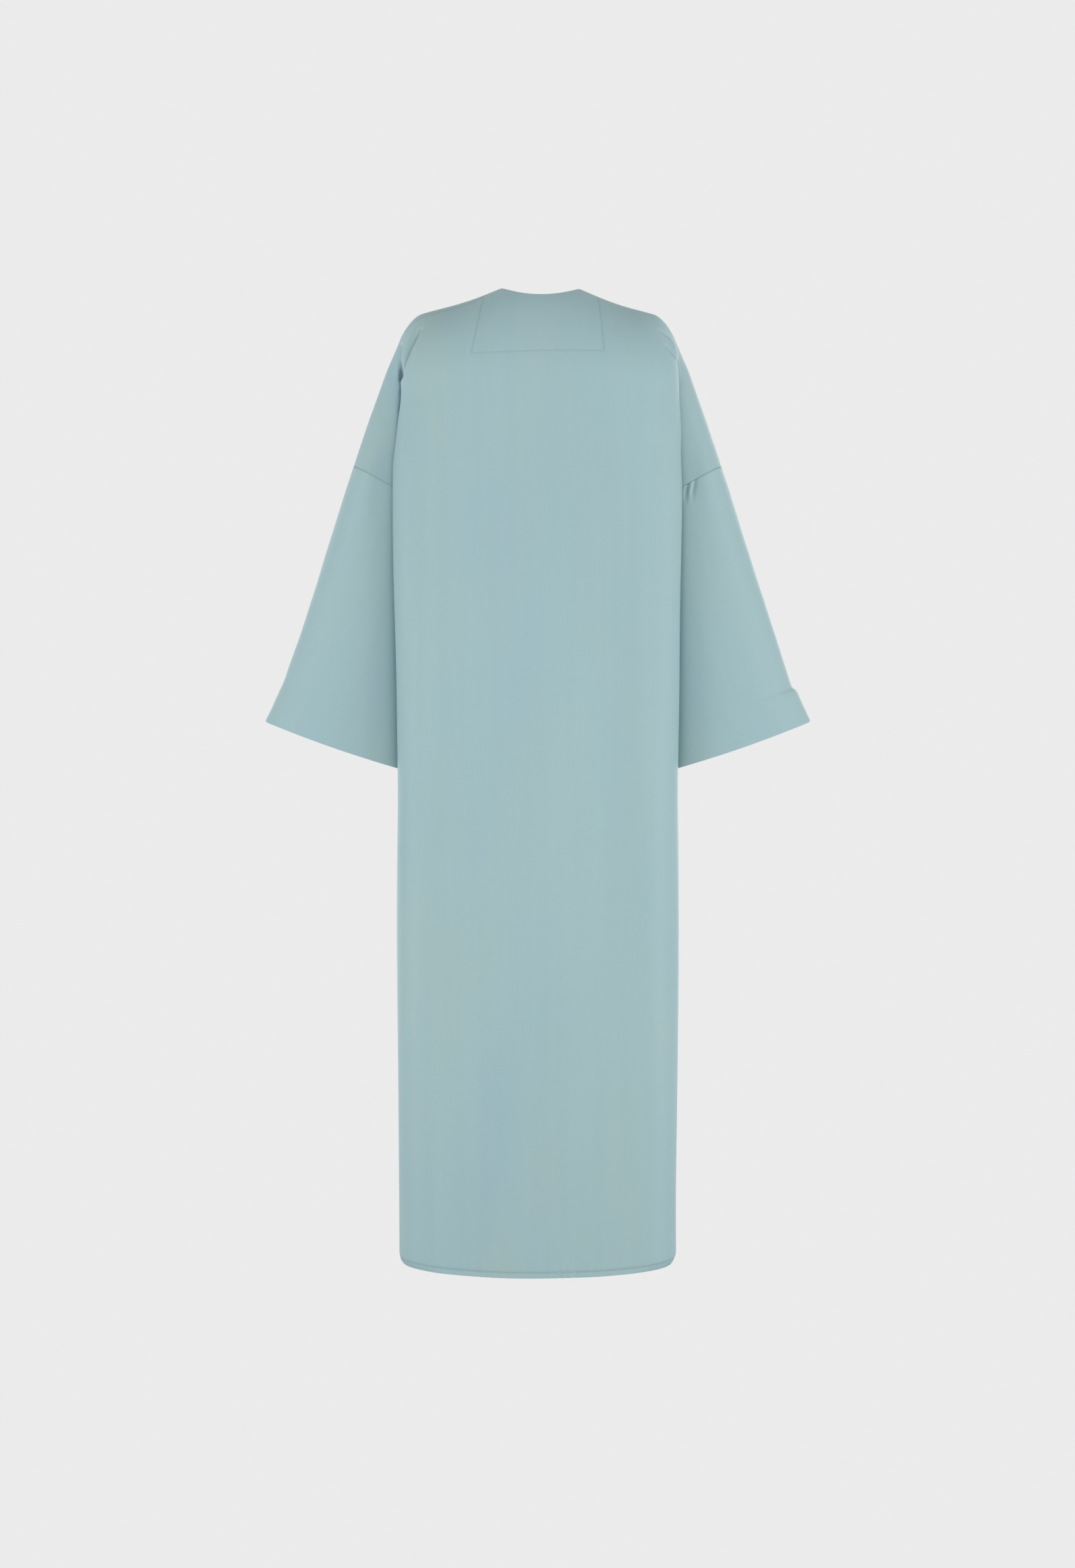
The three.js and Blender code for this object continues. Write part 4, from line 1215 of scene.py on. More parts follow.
    def add_side(self, mesh: ClothMesh, part: HalfPanel, reach: Array) -> None:
        """Adds the side of the body below the armhole, round to the side seam.

        Args:
            mesh: The mesh that the grid goes to.
            part: The half of the panel.
            reach: How far along the cloth the sheet runs.
        """
        cut, face, rows = self.cut, part.panel.face, slice(part.arm_rows - 1, None)
        level, edge = part.level[rows, None], part.edge[rows]
        round_side = np.linspace(0.0, 1.0, self.side_columns + 1)
        depth = lerp(cut.fold_depth, cut.seam_gap / 2.0, round_side)[None, :]
        beside = edge - cut.sleeve_inner_x + cut.sleeve_clearance
        below = smooth((level - cut.cuff_inner_level) / (cut.cuff_width * 1.2))
        hollow = lerp(beside, cut.low_tuck, below) * (1.0 - (depth / cut.fold_depth) ** 4)
        y = np.repeat(face.value * depth, len(level), axis=0)
        z = np.repeat(part.z[rows, -1:], depth.shape[1], axis=1)
        wall = np.stack([part.sign * (edge - hollow), y, z], axis=-1)
        offset, shade = self.offsets(wall, face)
        # Painted shade along the side seam.
        shade = np.maximum(shade, self.side_seam_shade * bump(depth, self.side_seam_reach))
        offset = offset * depth / cut.fold_depth
        pattern = np.stack([part.sign * walked(wall, reach[rows, -1]), z], axis=-1)
        mesh.add(wall, pattern, offset, shade, part.turned)

    def armhole_distance(self, points: Array) -> Array:
        """Returns how far above the armhole seam points of the dropped shoulder lie."""
        cut = self.cut
        seam_top = cut.arm_place(np.array(cut.drop), np.array(0.0))
        slope = math.tan(cut.armhole_slope)
        drop = points[..., 2] - (seam_top[1] - (seam_top[0] - np.abs(points[..., 0])) * slope)
        return np.maximum(0.0, drop * math.cos(cut.armhole_slope))

    def offsets(self, points: Array, face: Face) -> tuple[Array, Array]:
        """Returns how far the drape moves each point out, and its painted shade in seams and creases."""
        x, level = points[..., 0], -points[..., 2]
        dip = self.drape.seam_dip(x, level, face)
        out = self.drape.body_offset(x, level, face) + self.drape.pucker(x, level)
        # Painted shade in the stitch grooves, and on the back along the creases.
        shade = 0.34 * dip
        if face is Face.BACK:
            shade = shade + sum(crease.shade_at(x, level) for crease in self.drape.creases)
        return out - self.drape.groove * dip, np.clip(shade, 0.0, 1.0)

    def strip(
        self, mesh: ClothMesh, panel: Panel, x: Array, z: Array, side: Side, wall: bool = False
    ) -> None:
        """Adds a facing or hem that lies on a panel.

        Args:
            mesh: The mesh that the grid goes to.
            panel: The panel that it lies on.
            x: Half coordinates of its places, rows by columns.
            z: Their heights.
            side: The wearer's side.
            wall: Whether the strip also goes round the side, to the side seam.
        """
        cut, face, sign = self.cut, panel.face, side.value
        edge = cut.edge(-z[:, -1:], side)
        points = np.stack([sign * x, self.sheet_y(x, z, edge, panel), z], axis=-1)
        if wall:
            round_side = np.linspace(0.0, 1.0, self.side_columns + 1)[1:]
            depth = lerp(cut.fold_depth, cut.seam_gap, round_side)[None, :]
            hollow = cut.low_tuck * (1.0 - (depth / cut.fold_depth) ** 4)
            side_y = np.repeat(face.value * depth, len(z), axis=0)
            side_z = np.repeat(z[:, -1:], depth.shape[1], axis=1)
            side_points = np.stack([sign * (edge - hollow), side_y, side_z], axis=-1)
            points = np.concatenate([points, side_points], axis=1)
        out = self.drape.body_offset(points[..., 0], -points[..., 2], face)
        if wall:
            share = np.clip(np.abs(points[..., 1]) / cut.fold_depth, 0.0, 1.0)
            out = out * share
        pattern = np.stack([sign * walked(points, x[:, 0]), points[..., 2]], axis=-1)
        mesh.add(points, pattern, out, np.zeros_like(out), face.value * sign < 0)


@dataclass
class Body:
    """The back, the two fronts, and their facings, hems, tapes and label."""

    cut: Cut
    drape: Drape
    weaver: BodyWeaver
    wardrobe: Wardrobe
    cloth: float = CLOTH_THICKNESS
    trim: float = TRIM_THICKNESS
    layer_gap: float = 0.0003
    overlap: float = 0.030
    facing_width: float = 0.058
    facing_top_half: float = 0.083
    facing_foot_half: float = 0.0955
    facing_reach: float = 0.69
    hem_depth: float = 0.0095
    fold_foot_x: float = 0.137
    fold_half: float = 0.012
    label_half: float = 0.022
    label_top: float = 0.034
    label_foot: float = 0.062

    @property
    def trim_inset(self) -> float:
        """How far the middle of a trim lies inside the middle of its panel."""
        return self.cloth / 2.0 + self.layer_gap + self.trim / 2.0

    def build(self) -> dict[str, bpy.types.Object]:
        """Returns every cloth piece of the body by name."""
        pieces = {
            "back": self.back(),
            "right_front": self.front("right_front_cloth", RIGHT_FRONT, Side.RIGHT, ["right_front_panel"]),
            "left_front": self.front(
                "left_front_cloth", LEFT_FRONT, Side.LEFT, ["left_front_panel", "left_front_flap"]
            ),
        }
        pieces["neck_facing"] = self.neck_facing()
        pieces["right_facing"] = self.front_facing(
            "right_facing_cloth", RIGHT_FRONT, Side.RIGHT, ["right_front_facing"]
        )
        pieces["left_facing"] = self.front_facing(
            "left_facing_cloth", LEFT_FRONT, Side.LEFT, ["left_front_facing", "left_flap_facing"]
        )
        pieces["back_hem"] = self.hem("back_hem_cloth", BACK, [Side.LEFT, Side.RIGHT], 0.0, ["back_hem"])
        inner = self.facing_width - self.overlap + 0.001
        pieces["right_hem"] = self.hem(
            "right_front_hem_cloth", RIGHT_FRONT, [Side.RIGHT], inner, ["right_front_hem"]
        )
        pieces["left_hem"] = self.hem(
            "left_front_hem_cloth", LEFT_FRONT, [Side.LEFT], inner, ["left_front_hem", "left_flap_hem"]
        )
        pieces["label"] = self.label()
        for side in Side:
            pieces[f"{side.name.lower()}_tape"] = self.tape(side)
        return pieces

    def place(
        self, piece: bpy.types.Object, material: bpy.types.Material, slot: str, nodes: Sequence[str]
    ) -> bpy.types.Object:
        """Dresses a piece, replaces its CAD nodes, and, if it crosses the fold line, leaves it unattached
        with its transform baked.
        """
        crosses = len(nodes) > 1
        dress(piece, material, None if crosses else "gown")
        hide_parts(*nodes)
        if crosses:
            self.bend(piece)
        return piece

    def bend(self, piece: bpy.types.Object) -> None:
        """Bakes the transform of a piece of the left front into its mesh."""
        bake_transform(piece)

    def back(self) -> bpy.types.Object:
        """Returns the one-piece back with its dropped shoulders."""
        mesh = ClothMesh("back_cloth")
        for side in Side:
            self.weaver.half(mesh, BACK, side, self.cut.back_neck_z, 0.0)
        piece = mesh.build(self.cloth, 0.0, self.drape.settle)
        return self.place(piece, self.wardrobe.gown, "gown_cloth", ["back_panel"])

    def front(self, name: str, panel: Panel, side: Side, nodes: Sequence[str]) -> bpy.types.Object:
        """Returns one front, with its share of the overlap."""
        mesh = ClothMesh(name)
        self.weaver.half(mesh, panel, side, self.cut.front_neck_z, -self.overlap)
        piece = mesh.build(self.cloth, 0.0, self.drape.settle)
        return self.place(piece, self.wardrobe.gown, "gown_cloth", nodes)

    def neck_facing(self) -> bpy.types.Object:
        """Returns the facing inside the back neck, down to its topstitch."""
        mesh = ClothMesh("back_neck_facing_cloth")
        rows = np.linspace(0.0, 1.0, 40) ** 1.5 * self.facing_reach
        for side in Side:
            end = lerp(self.facing_top_half, self.facing_foot_half, rows / self.facing_reach)[:, None]
            inner = np.linspace(0.0, self.cut.neck_half, 18)[None, :]
            outer = lerp(self.cut.neck_half, end, np.linspace(0.0, 1.0, 9)[None, 1:])
            x = np.concatenate([np.repeat(inner, len(rows), axis=0), outer], axis=1)
            top = np.where(x < self.cut.neck_half, self.cut.back_neck_z(x), self.cut.shoulder_z(x))
            self.weaver.strip(mesh, BACK, x, lerp(top, -self.cut.yoke, rows[:, None]), side)
        piece = mesh.build(self.trim, self.trim_inset, self.drape.settle)
        return self.place(piece, self.wardrobe.facing, "facing_cloth", ["back_neck_facing"])

    def front_facing(self, name: str, panel: Panel, side: Side, nodes: Sequence[str]) -> bpy.types.Object:
        """Returns the facing down the inside of a front's edge."""
        mesh = ClothMesh(name)
        rows = np.linspace(0.0, 1.0, 30) ** 1.5
        x = np.linspace(-self.overlap + 0.0004, self.facing_width - self.overlap, 15)[None, :]
        upper = lerp(self.cut.front_neck_z(x), -self.cut.yoke, rows[:, None])
        levels = paced(self.cut.yoke, self.cut.length - 0.001, 0.014)[1:]
        z = np.concatenate([upper, np.repeat(-levels[:, None], x.shape[1], axis=1)])
        self.weaver.strip(mesh, panel, np.repeat(x, len(z), axis=0), z, side)
        piece = mesh.build(self.trim, self.trim_inset, self.drape.settle)
        return self.place(piece, self.wardrobe.facing, "facing_cloth", nodes)

    def hem(
        self, name: str, panel: Panel, sides: Sequence[Side], inner: float, nodes: Sequence[str]
    ) -> bpy.types.Object:
        """Returns the hem turned up inside a panel's lower edge."""
        mesh = ClothMesh(name)
        levels = np.linspace(self.cut.length - self.hem_depth, self.cut.length - self.layer_gap, 6)[:, None]
        for side in sides:
            edge = self.cut.edge(levels, side)
            flat = lerp(inner, edge - self.cut.corner, np.linspace(0.0, 1.0, 32)[None, :])
            angles = np.linspace(0.0, math.pi / 2.0, self.weaver.corner_columns + 1)[1:]
            x = np.concatenate([flat, edge - self.cut.corner + self.cut.corner * np.sin(angles)], axis=1)
            self.weaver.strip(mesh, panel, x, np.repeat(-levels, x.shape[1], axis=1), side, wall=True)
        piece = mesh.build(self.trim, self.trim_inset, self.drape.settle)
        return self.place(piece, self.wardrobe.hem, "hem_cloth", nodes)

    def label(self) -> bpy.types.Object:
        """Returns the blank label sewn to the back neck facing."""
        mesh = ClothMesh("care_label_cloth")
        levels = np.linspace(self.label_top, self.label_foot, 16)[:, None]
        x = np.repeat(np.linspace(-self.label_half, self.label_half, 16)[None, :], len(levels), axis=0)
        curl = 0.0012 * smooth((levels - self.label_top) / (self.label_foot - self.label_top)) ** 2
        z = np.repeat(-levels, x.shape[1], axis=1)
        y = self.weaver.sheet_y(x, z, self.cut.edge(levels, Side.LEFT), BACK) - curl
        points = np.stack([x, y, z], axis=-1)
        offset = self.drape.body_offset(x, -z, Face.BACK)
        mesh.add(points, np.stack([x, z], axis=-1), offset, np.zeros_like(offset), False)
        piece = mesh.build(self.trim * 0.6, self.trim_inset + self.trim + self.layer_gap, self.drape.settle)
        return self.place(piece, self.wardrobe.label, "label_tape", ["care_label"])

    def tape(self, side: Side) -> bpy.types.Object:
        """Returns the stay tape under one shoulder seam."""
        name = f"{side.name.lower()}_shoulder_tape"
        low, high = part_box(name)
        mesh = ClothMesh(f"{name}_cloth")
        near, far = (low.x, high.x) if side is Side.LEFT else (high.x, low.x)
        along = np.linspace(0.0, 1.0, 44)[:, None]
        rest = np.linspace(low.y, high.y, 9)[None, :]
        x = np.repeat(lerp(near, far, along), rest.shape[1], axis=1)
        z = np.repeat(lerp(high.z, low.z, along), rest.shape[1], axis=1) - 0.0004
        y = np.repeat(rest, len(along), axis=0)
        z = z + 0.00012 * np.sin(x / 0.0042) * np.sin(y / 0.003)
        points = np.stack([x, y, z], axis=-1)
        zero = np.zeros_like(x)
        mesh.add(points, np.stack([x, y], axis=-1), zero, zero, side is Side.LEFT)
        piece = mesh.build(self.trim, 0.0, self.drape.settle)
        return self.place(piece, self.wardrobe.tape, "stay_tape", [name])


# ---------------------------------------------------------------- sleeves


@dataclass
class Sleeves:
    """The two wide sleeves and the hems turned up inside their cuffs."""

    cut: Cut
    drape: Drape
    wardrobe: Wardrobe
    cloth: float = CLOTH_THICKNESS
    trim: float = TRIM_THICKNESS
    trim_inset: float = 0.00095
    seam_gap: float = 0.00016
    cuff_hem: float = 0.055
    hem_step: float = 0.00030
    turns: int = 112
    corner_radius: float = 0.005
    end_bulge: float = 0.0028
    bend_length: float = 0.170
    pleats: tuple[Crease, ...] = (
        Crease(((-0.2195, 0.293), (-0.2175, 0.303), (-0.2165, 0.318)), -0.0030, 0.0022),
        Crease(((-0.2305, 0.287), (-0.2285, 0.298), (-0.2255, 0.314)), -0.0030, 0.0022),
        Crease(((-0.2255, 0.290), (-0.2235, 0.302), (-0.2215, 0.312)), 0.0014, 0.0024),
    )

    def points(self, s: Array, turn: Array, side: Side) -> Array:
        """Returns places on a sleeve at s down the arm and turn round it."""
        width, w_share = self.cut.sleeve_width(s), (1.0 - np.cos(turn)) / 2.0
        place = self.cut.bowed_place(s, width * w_share, side)
        depth = self.cut.arm_half_depth(s) * self.cut.arm_profile(w_share) * np.sign(math.pi - turn)
        return np.stack([side.value * place[..., 0], depth, place[..., 1]], axis=-1)

    def end(self, turn: Array) -> Array:
        """Returns s of the cuff's edge, which bows down a little and rounds off at the fold."""
        width = self.cut.cuff_width
        w = width / 2.0 * (1.0 - np.cos(turn))
        bulged = self.cut.sleeve_length + self.end_bulge * np.sin(math.pi * np.clip(w / width, 0.0, 1.0))
        inside = np.clip(1.0 - w / self.corner_radius, 0.0, 1.0)
        return bulged - self.corner_radius * (1.0 - np.sqrt(1.0 - inside**2)) * 0.9

    def tube(self, name: str, side: Side, start: Array, finish: Array, shares: Array) -> ClothMesh:
        """Makes a tube of cloth round the arm.

        Args:
            name: The piece's name.
            side: The wearer's side.
            start: s of its upper edge at each turn.
            finish: s of its lower edge at each turn.
            shares: Places of its rows between the two edges, from 0 to 1.

        Returns:
            The mesh, ready to build.
        """
        turn = np.linspace(0.0, 2.0 * math.pi, self.turns + 1)[None, :]
        s = lerp(start[None, :], finish[None, :], shares[:, None])
        turn = np.repeat(turn, len(shares), axis=0)
        points = self.points(s, turn, side)
        points[:, -1] = points[:, 0]
        from_seam = s - self.cut.armhole_seam(turn)
        from_hem = s - (self.cut.sleeve_length - self.cuff_hem)
        dip = bump(from_seam, SEAM_REACH)
        offset = self.drape.sleeve_offset(s, turn, side)
        pleats = sum(pleat.at(points[..., 0], -points[..., 2]) for pleat in self.pleats)
        offset = offset + np.where(points[..., 1] > 0.0, pleats, 0.0)
        offset = offset - SEAM_DIP * dip + self.hem_step * smooth(from_hem / 0.004)
        offset[:, -1] = offset[:, 0]
        mesh = ClothMesh(name)
        reach = walked(points)
        pattern = np.stack([reach, s], axis=-1)
        # Painted shade along the armhole seam.
        mesh.add(points, pattern, offset, dip * SEAM_SHADE, side is Side.LEFT)
        return mesh

    def build(self) -> dict[str, bpy.types.Object]:
        """Returns the sleeves and cuff hems by name."""
        pieces = {}
        for side in Side:
            name = side.name.lower()
            turn = np.linspace(0.0, 2.0 * math.pi, self.turns + 1)
            start = self.cut.armhole_seam(turn) + self.seam_gap
            end = self.end(turn)
            hem_share = 1.0 - self.cuff_hem / (self.cut.sleeve_length - self.cut.drop)
            fine = [(0.0, 0.012, 0.0035), (hem_share, 0.026, 0.0040), (1.0, 0.008, 0.005)]
            shares = paced(0.0, 1.0, 0.019, fine)
            sleeve = self.tube(f"{name}_sleeve_cloth", side, start, end, shares)
            sleeve = sleeve.build(self.cloth, 0.0, self.drape.settle)
            dress(sleeve, self.wardrobe.gown, None)
            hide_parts(f"{name}_sleeve")
            self.bend(sleeve, side)
            pieces[f"{name}_sleeve"] = sleeve
            hem_start = np.full_like(turn, self.cut.sleeve_length - self.cuff_hem)
            hem_rows = np.concatenate([np.linspace(0.0, 0.24, 10), np.linspace(0.24, 1.0, 8)[1:]])
            hem = self.tube(f"{name}_cuff_hem_cloth", side, hem_start, end - 0.0004, hem_rows)
            hem = hem.build(self.trim, self.trim_inset, self.drape.settle)
            dress(hem, self.wardrobe.hem, f"{name}_sleeve")
            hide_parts(f"{name}_cuff_hem")
            pieces[f"{name}_cuff_hem"] = hem
        return pieces

    def bend(self, sleeve: bpy.types.Object, side: Side) -> None:
        """Bakes a sleeve's transform into its mesh. The span below the armhole seam that it works out is
        not used.
        """
        seam_end = float(self.cut.armhole_seam(np.array(math.pi))) + 0.001
        width = float(self.cut.sleeve_width(np.array(seam_end)))
        middle = np.array(width / 2.0)
        start = self.cut.arm_place(np.array(seam_end), middle)
        end = self.cut.arm_place(np.array(seam_end + self.bend_length), middle)
        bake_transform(sleeve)


# ---------------------------------------------------------------- stitching


@dataclass
class Stitching:
    """Lines of lockstitch, each stitch a small rounded length of thread in the cloth."""

    length: float = 0.0023
    gap: float = 0.0009
    radius: float = 0.00022
    rings: tuple[tuple[float, float, float], ...] = (
        (0.0, 0.15, -0.5), (0.18, 0.85, 0.25), (0.5, 1.0, 0.55), (0.82, 0.85, 0.25), (1.0, 0.15, -0.5),
    )
    sides: int = 6

    def line(
        self,
        name: str,
        cloth: bpy.types.Object,
        path: Sequence[tuple[float, float, float]],
        towards: tuple[float, float, float],
        parts: list,
    ) -> None:
        """Lays stitches along a path onto a cloth.

        Args:
            name: The name of the line, for the log.
            cloth: The piece that is sewn.
            path: Points outside the cloth that the line follows.
            towards: The direction from the path to the cloth.
            parts: The list that the stitches' points and pattern coordinates go to.
        """
        mesh = cloth.data
        tree = BVHTree.FromPolygons([v.co for v in mesh.vertices], [p.vertices[:] for p in mesh.polygons])
        corners = [Vector(point) for point in path]
        aim = Vector(towards).normalized()
        total = sum((b - a).length for a, b in zip(corners, corners[1:]))
        count = int(total / (self.length + self.gap))
        laid = 0
        for k in range(count):
            near = self._walk(corners, total * (k + 0.5) / count)
            half = (near[1] * self.length) / 2.0
            hits = [tree.ray_cast(near[0] + half * end, aim) for end in (-1.0, 1.0)]
            found = all(hit[0] is not None for hit in hits)
            if found and (hits[0][0] - hits[1][0]).length < 2.0 * self.length:
                parts.append((hits[0][0], hits[1][0], (hits[0][1] + hits[1][1]).normalized()))
                laid += 1
        log.info("%s: %d stitches", name, laid)

    @staticmethod
    def _walk(corners: Sequence[Vector], distance: float) -> tuple[Vector, Vector]:
        """Returns the point at a distance along a path, and the path's direction there."""
        for a, b in zip(corners, corners[1:]):
            length = (b - a).length
            if distance <= length:
                return a.lerp(b, distance / length), (b - a).normalized()
            distance -= length
        return corners[-1], (corners[-1] - corners[-2]).normalized()

    def make(self, name: str, parts: Sequence[tuple[Vector, Vector, Vector]]) -> bpy.types.Object:
        """Makes one object of many stitches.

        Args:
            name: The piece's name.
            parts: Each stitch's two ends and the cloth's outward side there.

        Returns:
            The object, in the thread's finish.
        """
        rings, sides = self.rings, self.sides
        vertices, faces, pattern = [], [], []
        for a, b, up in parts:
            along = (b - a).normalized()
            over = along.cross(up).normalized()
            first = len(vertices)
            for share, width, lift in rings:
                middle = a.lerp(b, share) + up * (lift * self.radius)
                for k in range(sides):
                    angle = 2.0 * math.pi * k / sides
                    reach = over * math.cos(angle) + up * math.sin(angle)
                    vertices.append(middle + reach * (self.radius * width))
                    pattern.append((share * self.length, angle * self.radius, 0.0))
            for ring in range(len(rings) - 1):
                for k in range(sides):
                    low, high = first + ring * sides, first + (ring + 1) * sides
                    m = (k + 1) % sides
                    faces.append((low + k, high + k, high + m, low + m))
            faces.append(tuple(first + k for k in range(sides)))
            last = first + (len(rings) - 1) * sides
            faces.append(tuple(last + k for k in reversed(range(sides))))
        mesh = bpy.data.meshes.new(name)
        mesh.from_pydata(vertices, [], faces)
        mesh.shade_smooth()
        flat = mesh.attributes.new(PATTERN_MAP, "FLOAT_VECTOR", "POINT")
        flat.data.foreach_set("vector", np.array(pattern).ravel())
        piece = bpy.data.objects.new(name, mesh)
        bpy.context.scene.collection.objects.link(piece)
        return piece


def stitch_all(body: Body, pieces: dict[str, bpy.types.Object], wardrobe: Wardrobe) -> None:
    """Sews the visible stitch lines of the gown.

    Args:
        body: The body, for its sizes.
        pieces: The cloth pieces by name.
        wardrobe: The finishes.
    """
    cut, drape = body.cut, body.drape
    sewing = Stitching()
    behind, before, beside = 0.30, -0.30, 0.40
    inwards, backwards = (0.0, -1.0, 0.0), (0.0, 1.0, 0.0)

    def settled(points: Sequence[tuple[float, float, float]]) -> list[tuple[float, float, float]]:
        """Returns points moved as the gown settles, with their depth kept."""
        return [tuple(row) for row in drape.settle(np.array(points)).tolist()]

    def hem_path(face: Face, side: Side, inner: float) -> list[tuple[float, float, float]]:
        """Returns a path outside the hem's stitch line, from inner x to the fold edge."""
        edge = float(cut.edge(np.array(drape.hem_stitch_level), side)) - 0.003
        xs = np.linspace(inner, edge, 40) * side.value
        return settled([(x, behind * face.value, -drape.hem_stitch_level) for x in xs])

    def wall_path(face: Face, side: Side) -> list[tuple[float, float, float]]:
        """Returns a path beside the hem's stitch line, round the side of the body."""
        edge = float(cut.edge(np.array(drape.hem_stitch_level), side)) - cut.low_tuck
        ys = np.linspace(cut.fold_depth * 0.93, 0.002, 12) * face.value
        rise = settled([(edge * side.value, 0.0, -drape.hem_stitch_level)])[0][2]
        return [(beside * side.value, y, rise) for y in ys]

    stitched = {}
    facing: list = []
    for line in (drape.facing_foot, drape.facing_left, drape.facing_right):
        places = zip(*(np.linspace(a, b, 24) for a, b in zip(*line)))
        points = settled([(x, behind, -level) for x, level in places])
        sewing.line("neck facing", pieces["back"], points, inwards, facing)
    stitched["facing_stitches"] = sewing.make("neck_facing_stitches", facing)
    back: list = []
    for side in Side:
        across = (-side.value, 0.0, 0.0)
        sewing.line("back hem", pieces["back"], hem_path(Face.BACK, side, 0.0015), inwards, back)
        sewing.line("back hem side", pieces["back"], wall_path(Face.BACK, side), across, back)
    stitched["back_hem_stitches"] = sewing.make("back_hem_stitches", back)
    placket_x = body.facing_width - body.overlap - 0.003
    for side, name in ((Side.LEFT, "left_front"), (Side.RIGHT, "right_front")):
        parts: list = []
        sign = side.value
        path = hem_path(Face.FRONT, side, -body.overlap + 0.003)
        sewing.line(f"{name} hem", pieces[name], path, backwards, parts)
        sewing.line(f"{name} hem side", pieces[name], wall_path(Face.FRONT, side), (-sign, 0.0, 0.0), parts)
        if side is Side.LEFT:
            for x in (placket_x, -body.overlap + 0.0035):
                levels = np.linspace(cut.front_neck_drop - 0.02, drape.hem_stitch_level - 0.003, 60)
                points = settled([(sign * x, before, -level) for level in levels])
                sewing.line("placket", pieces[name], points, backwards, parts)
        stitched[f"{name}_stitches"] = sewing.make(f"{name}_stitches", parts)
    for key, piece in stitched.items():
        blended = key == "left_front_stitches"
        dress(piece, wardrobe.thread, None if blended else "gown")
        if blended:
            body.bend(piece)


# ---------------------------------------------------------------- press studs


@dataclass
class PressStuds:
    """Six press studs, each of a cap, a socket, a stud and a post ring."""

    wardrobe: Wardrobe
    count: int = 6
    sides: int = 40

    def turned(
        self, name: str, profile: Sequence[tuple[float, float]], centre: Vector, base_y: float
    ) -> bpy.types.Object:
        """Turns a profile about the line through the fronts.

        Args:
            name: The piece's name.
            profile: A closed or on-axis outline of (radius, distance out from the base).
            centre: The middle of the stud.
            base_y: The depth of the base. The piece stands out from it towards -Y.

        Returns:
            The object.
        """
        closed = profile[0] == profile[-1]
        rings = profile[:-1] if closed else profile
        vertices: list[tuple[float, float, float]] = []
        ids: list[list[int]] = []
        for radius, height in rings:
            around = 1 if radius < 1e-9 else self.sides
            start = len(vertices)
            for k in range(around):
                angle = 2.0 * math.pi * k / self.sides
                x, z = centre.x + radius * math.cos(angle), centre.z + radius * math.sin(angle)
                vertices.append((x, base_y - height, z))
            ids.append([start + (k % around) for k in range(self.sides)])
        faces = []
        pairs = list(zip(ids, ids[1:] + ids[:1])) if closed else list(zip(ids, ids[1:]))
        for low, high in pairs:
            for k in range(self.sides):
                m = (k + 1) % self.sides
                face = (low[k], low[m], high[m], high[k])
                face = tuple(corner for n, corner in enumerate(face) if corner != face[n - 1])
                if len(face) > 2:
                    faces.append(face)
        mesh = bpy.data.meshes.new(name)
        mesh.from_pydata(vertices, [], faces)
        mesh.shade_smooth()
        mesh.set_sharp_from_angle(angle=math.radians(50))
        piece = bpy.data.objects.new(name, mesh)
        bpy.context.scene.collection.objects.link(piece)
        return piece

    @staticmethod
    def rounded(
        radius: float, height: float, bevel: float, inner: float = 0.0
    ) -> list[tuple[float, float]]:
        """Returns the outline of a disc or ring with rounded outer corners."""
        angles = np.linspace(0.0, math.pi / 2.0, 6)
        top = [(radius - bevel + bevel * math.sin(a), height - bevel + bevel * math.cos(a)) for a in angles]
        foot = [(radius - bevel + bevel * math.cos(a), bevel - bevel * math.sin(a)) for a in angles]
        return [(inner, height), *top, *foot, (inner, 0.0)]

    def profile(self, kind: str, size: Vector) -> list[tuple[float, float]]:
        """Returns the outline of one piece of a stud.

        Args:
            kind: cap, socket, stud or post.
            size: The size of the piece that it stands for.

        Returns:
            The outline, from its top inwards to its base.
        """
        radius, height = size.x / 2.0, size.y
        if kind == "cap":
            dish = [(0.0, height * 0.80), (radius * 0.35, height * 0.84), (radius * 0.55, height * 0.97)]
            return [*dish, *self.rounded(radius, height, height * 0.55)[1:]]
        if kind == "socket":
            bore = radius * 0.49
            outline = self.rounded(radius, height, height * 0.35, bore)
            lip = [(bore, height * 0.75), (bore * 1.25, height * 0.62), (bore * 1.25, 0.0)]
            return [*outline[:-1], *lip[::-1], outline[0]]
        if kind == "stud":
            nub, base = radius * 0.345, height * 0.4
            head = [(0.0, height), (nub * 0.7, height * 0.985), (nub, height * 0.90), (nub, height * 0.78)]
            neck = [(nub * 0.86, height * 0.6), (nub * 0.9, base)]
            return [*head, *neck, *self.rounded(radius, base, base * 0.35)[1:]]
        return [*self.rounded(radius, height, height * 0.4, radius * 0.4), (radius * 0.4, height)]

    def build(self) -> None:
        """Makes the four pieces of every stud in the places of their CAD nodes."""
        for number in range(1, self.count + 1):
            for kind in ("cap", "socket", "stud", "post"):
                node = f"stud_{number}_{kind}"
                low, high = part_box(node)
                size, centre = high - low, (low + high) / 2.0
                piece = self.turned(f"{node}_piece", self.profile(kind, size), centre, high.y)
                finish = self.wardrobe.resin if kind == "cap" else self.wardrobe.metal
                flap = "left_front_flap" if kind in ("cap", "socket") and number > 2 else "gown"
                dress(piece, finish, flap)
                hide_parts(node)


# ---------------------------------------------------------------- camera, light and floor


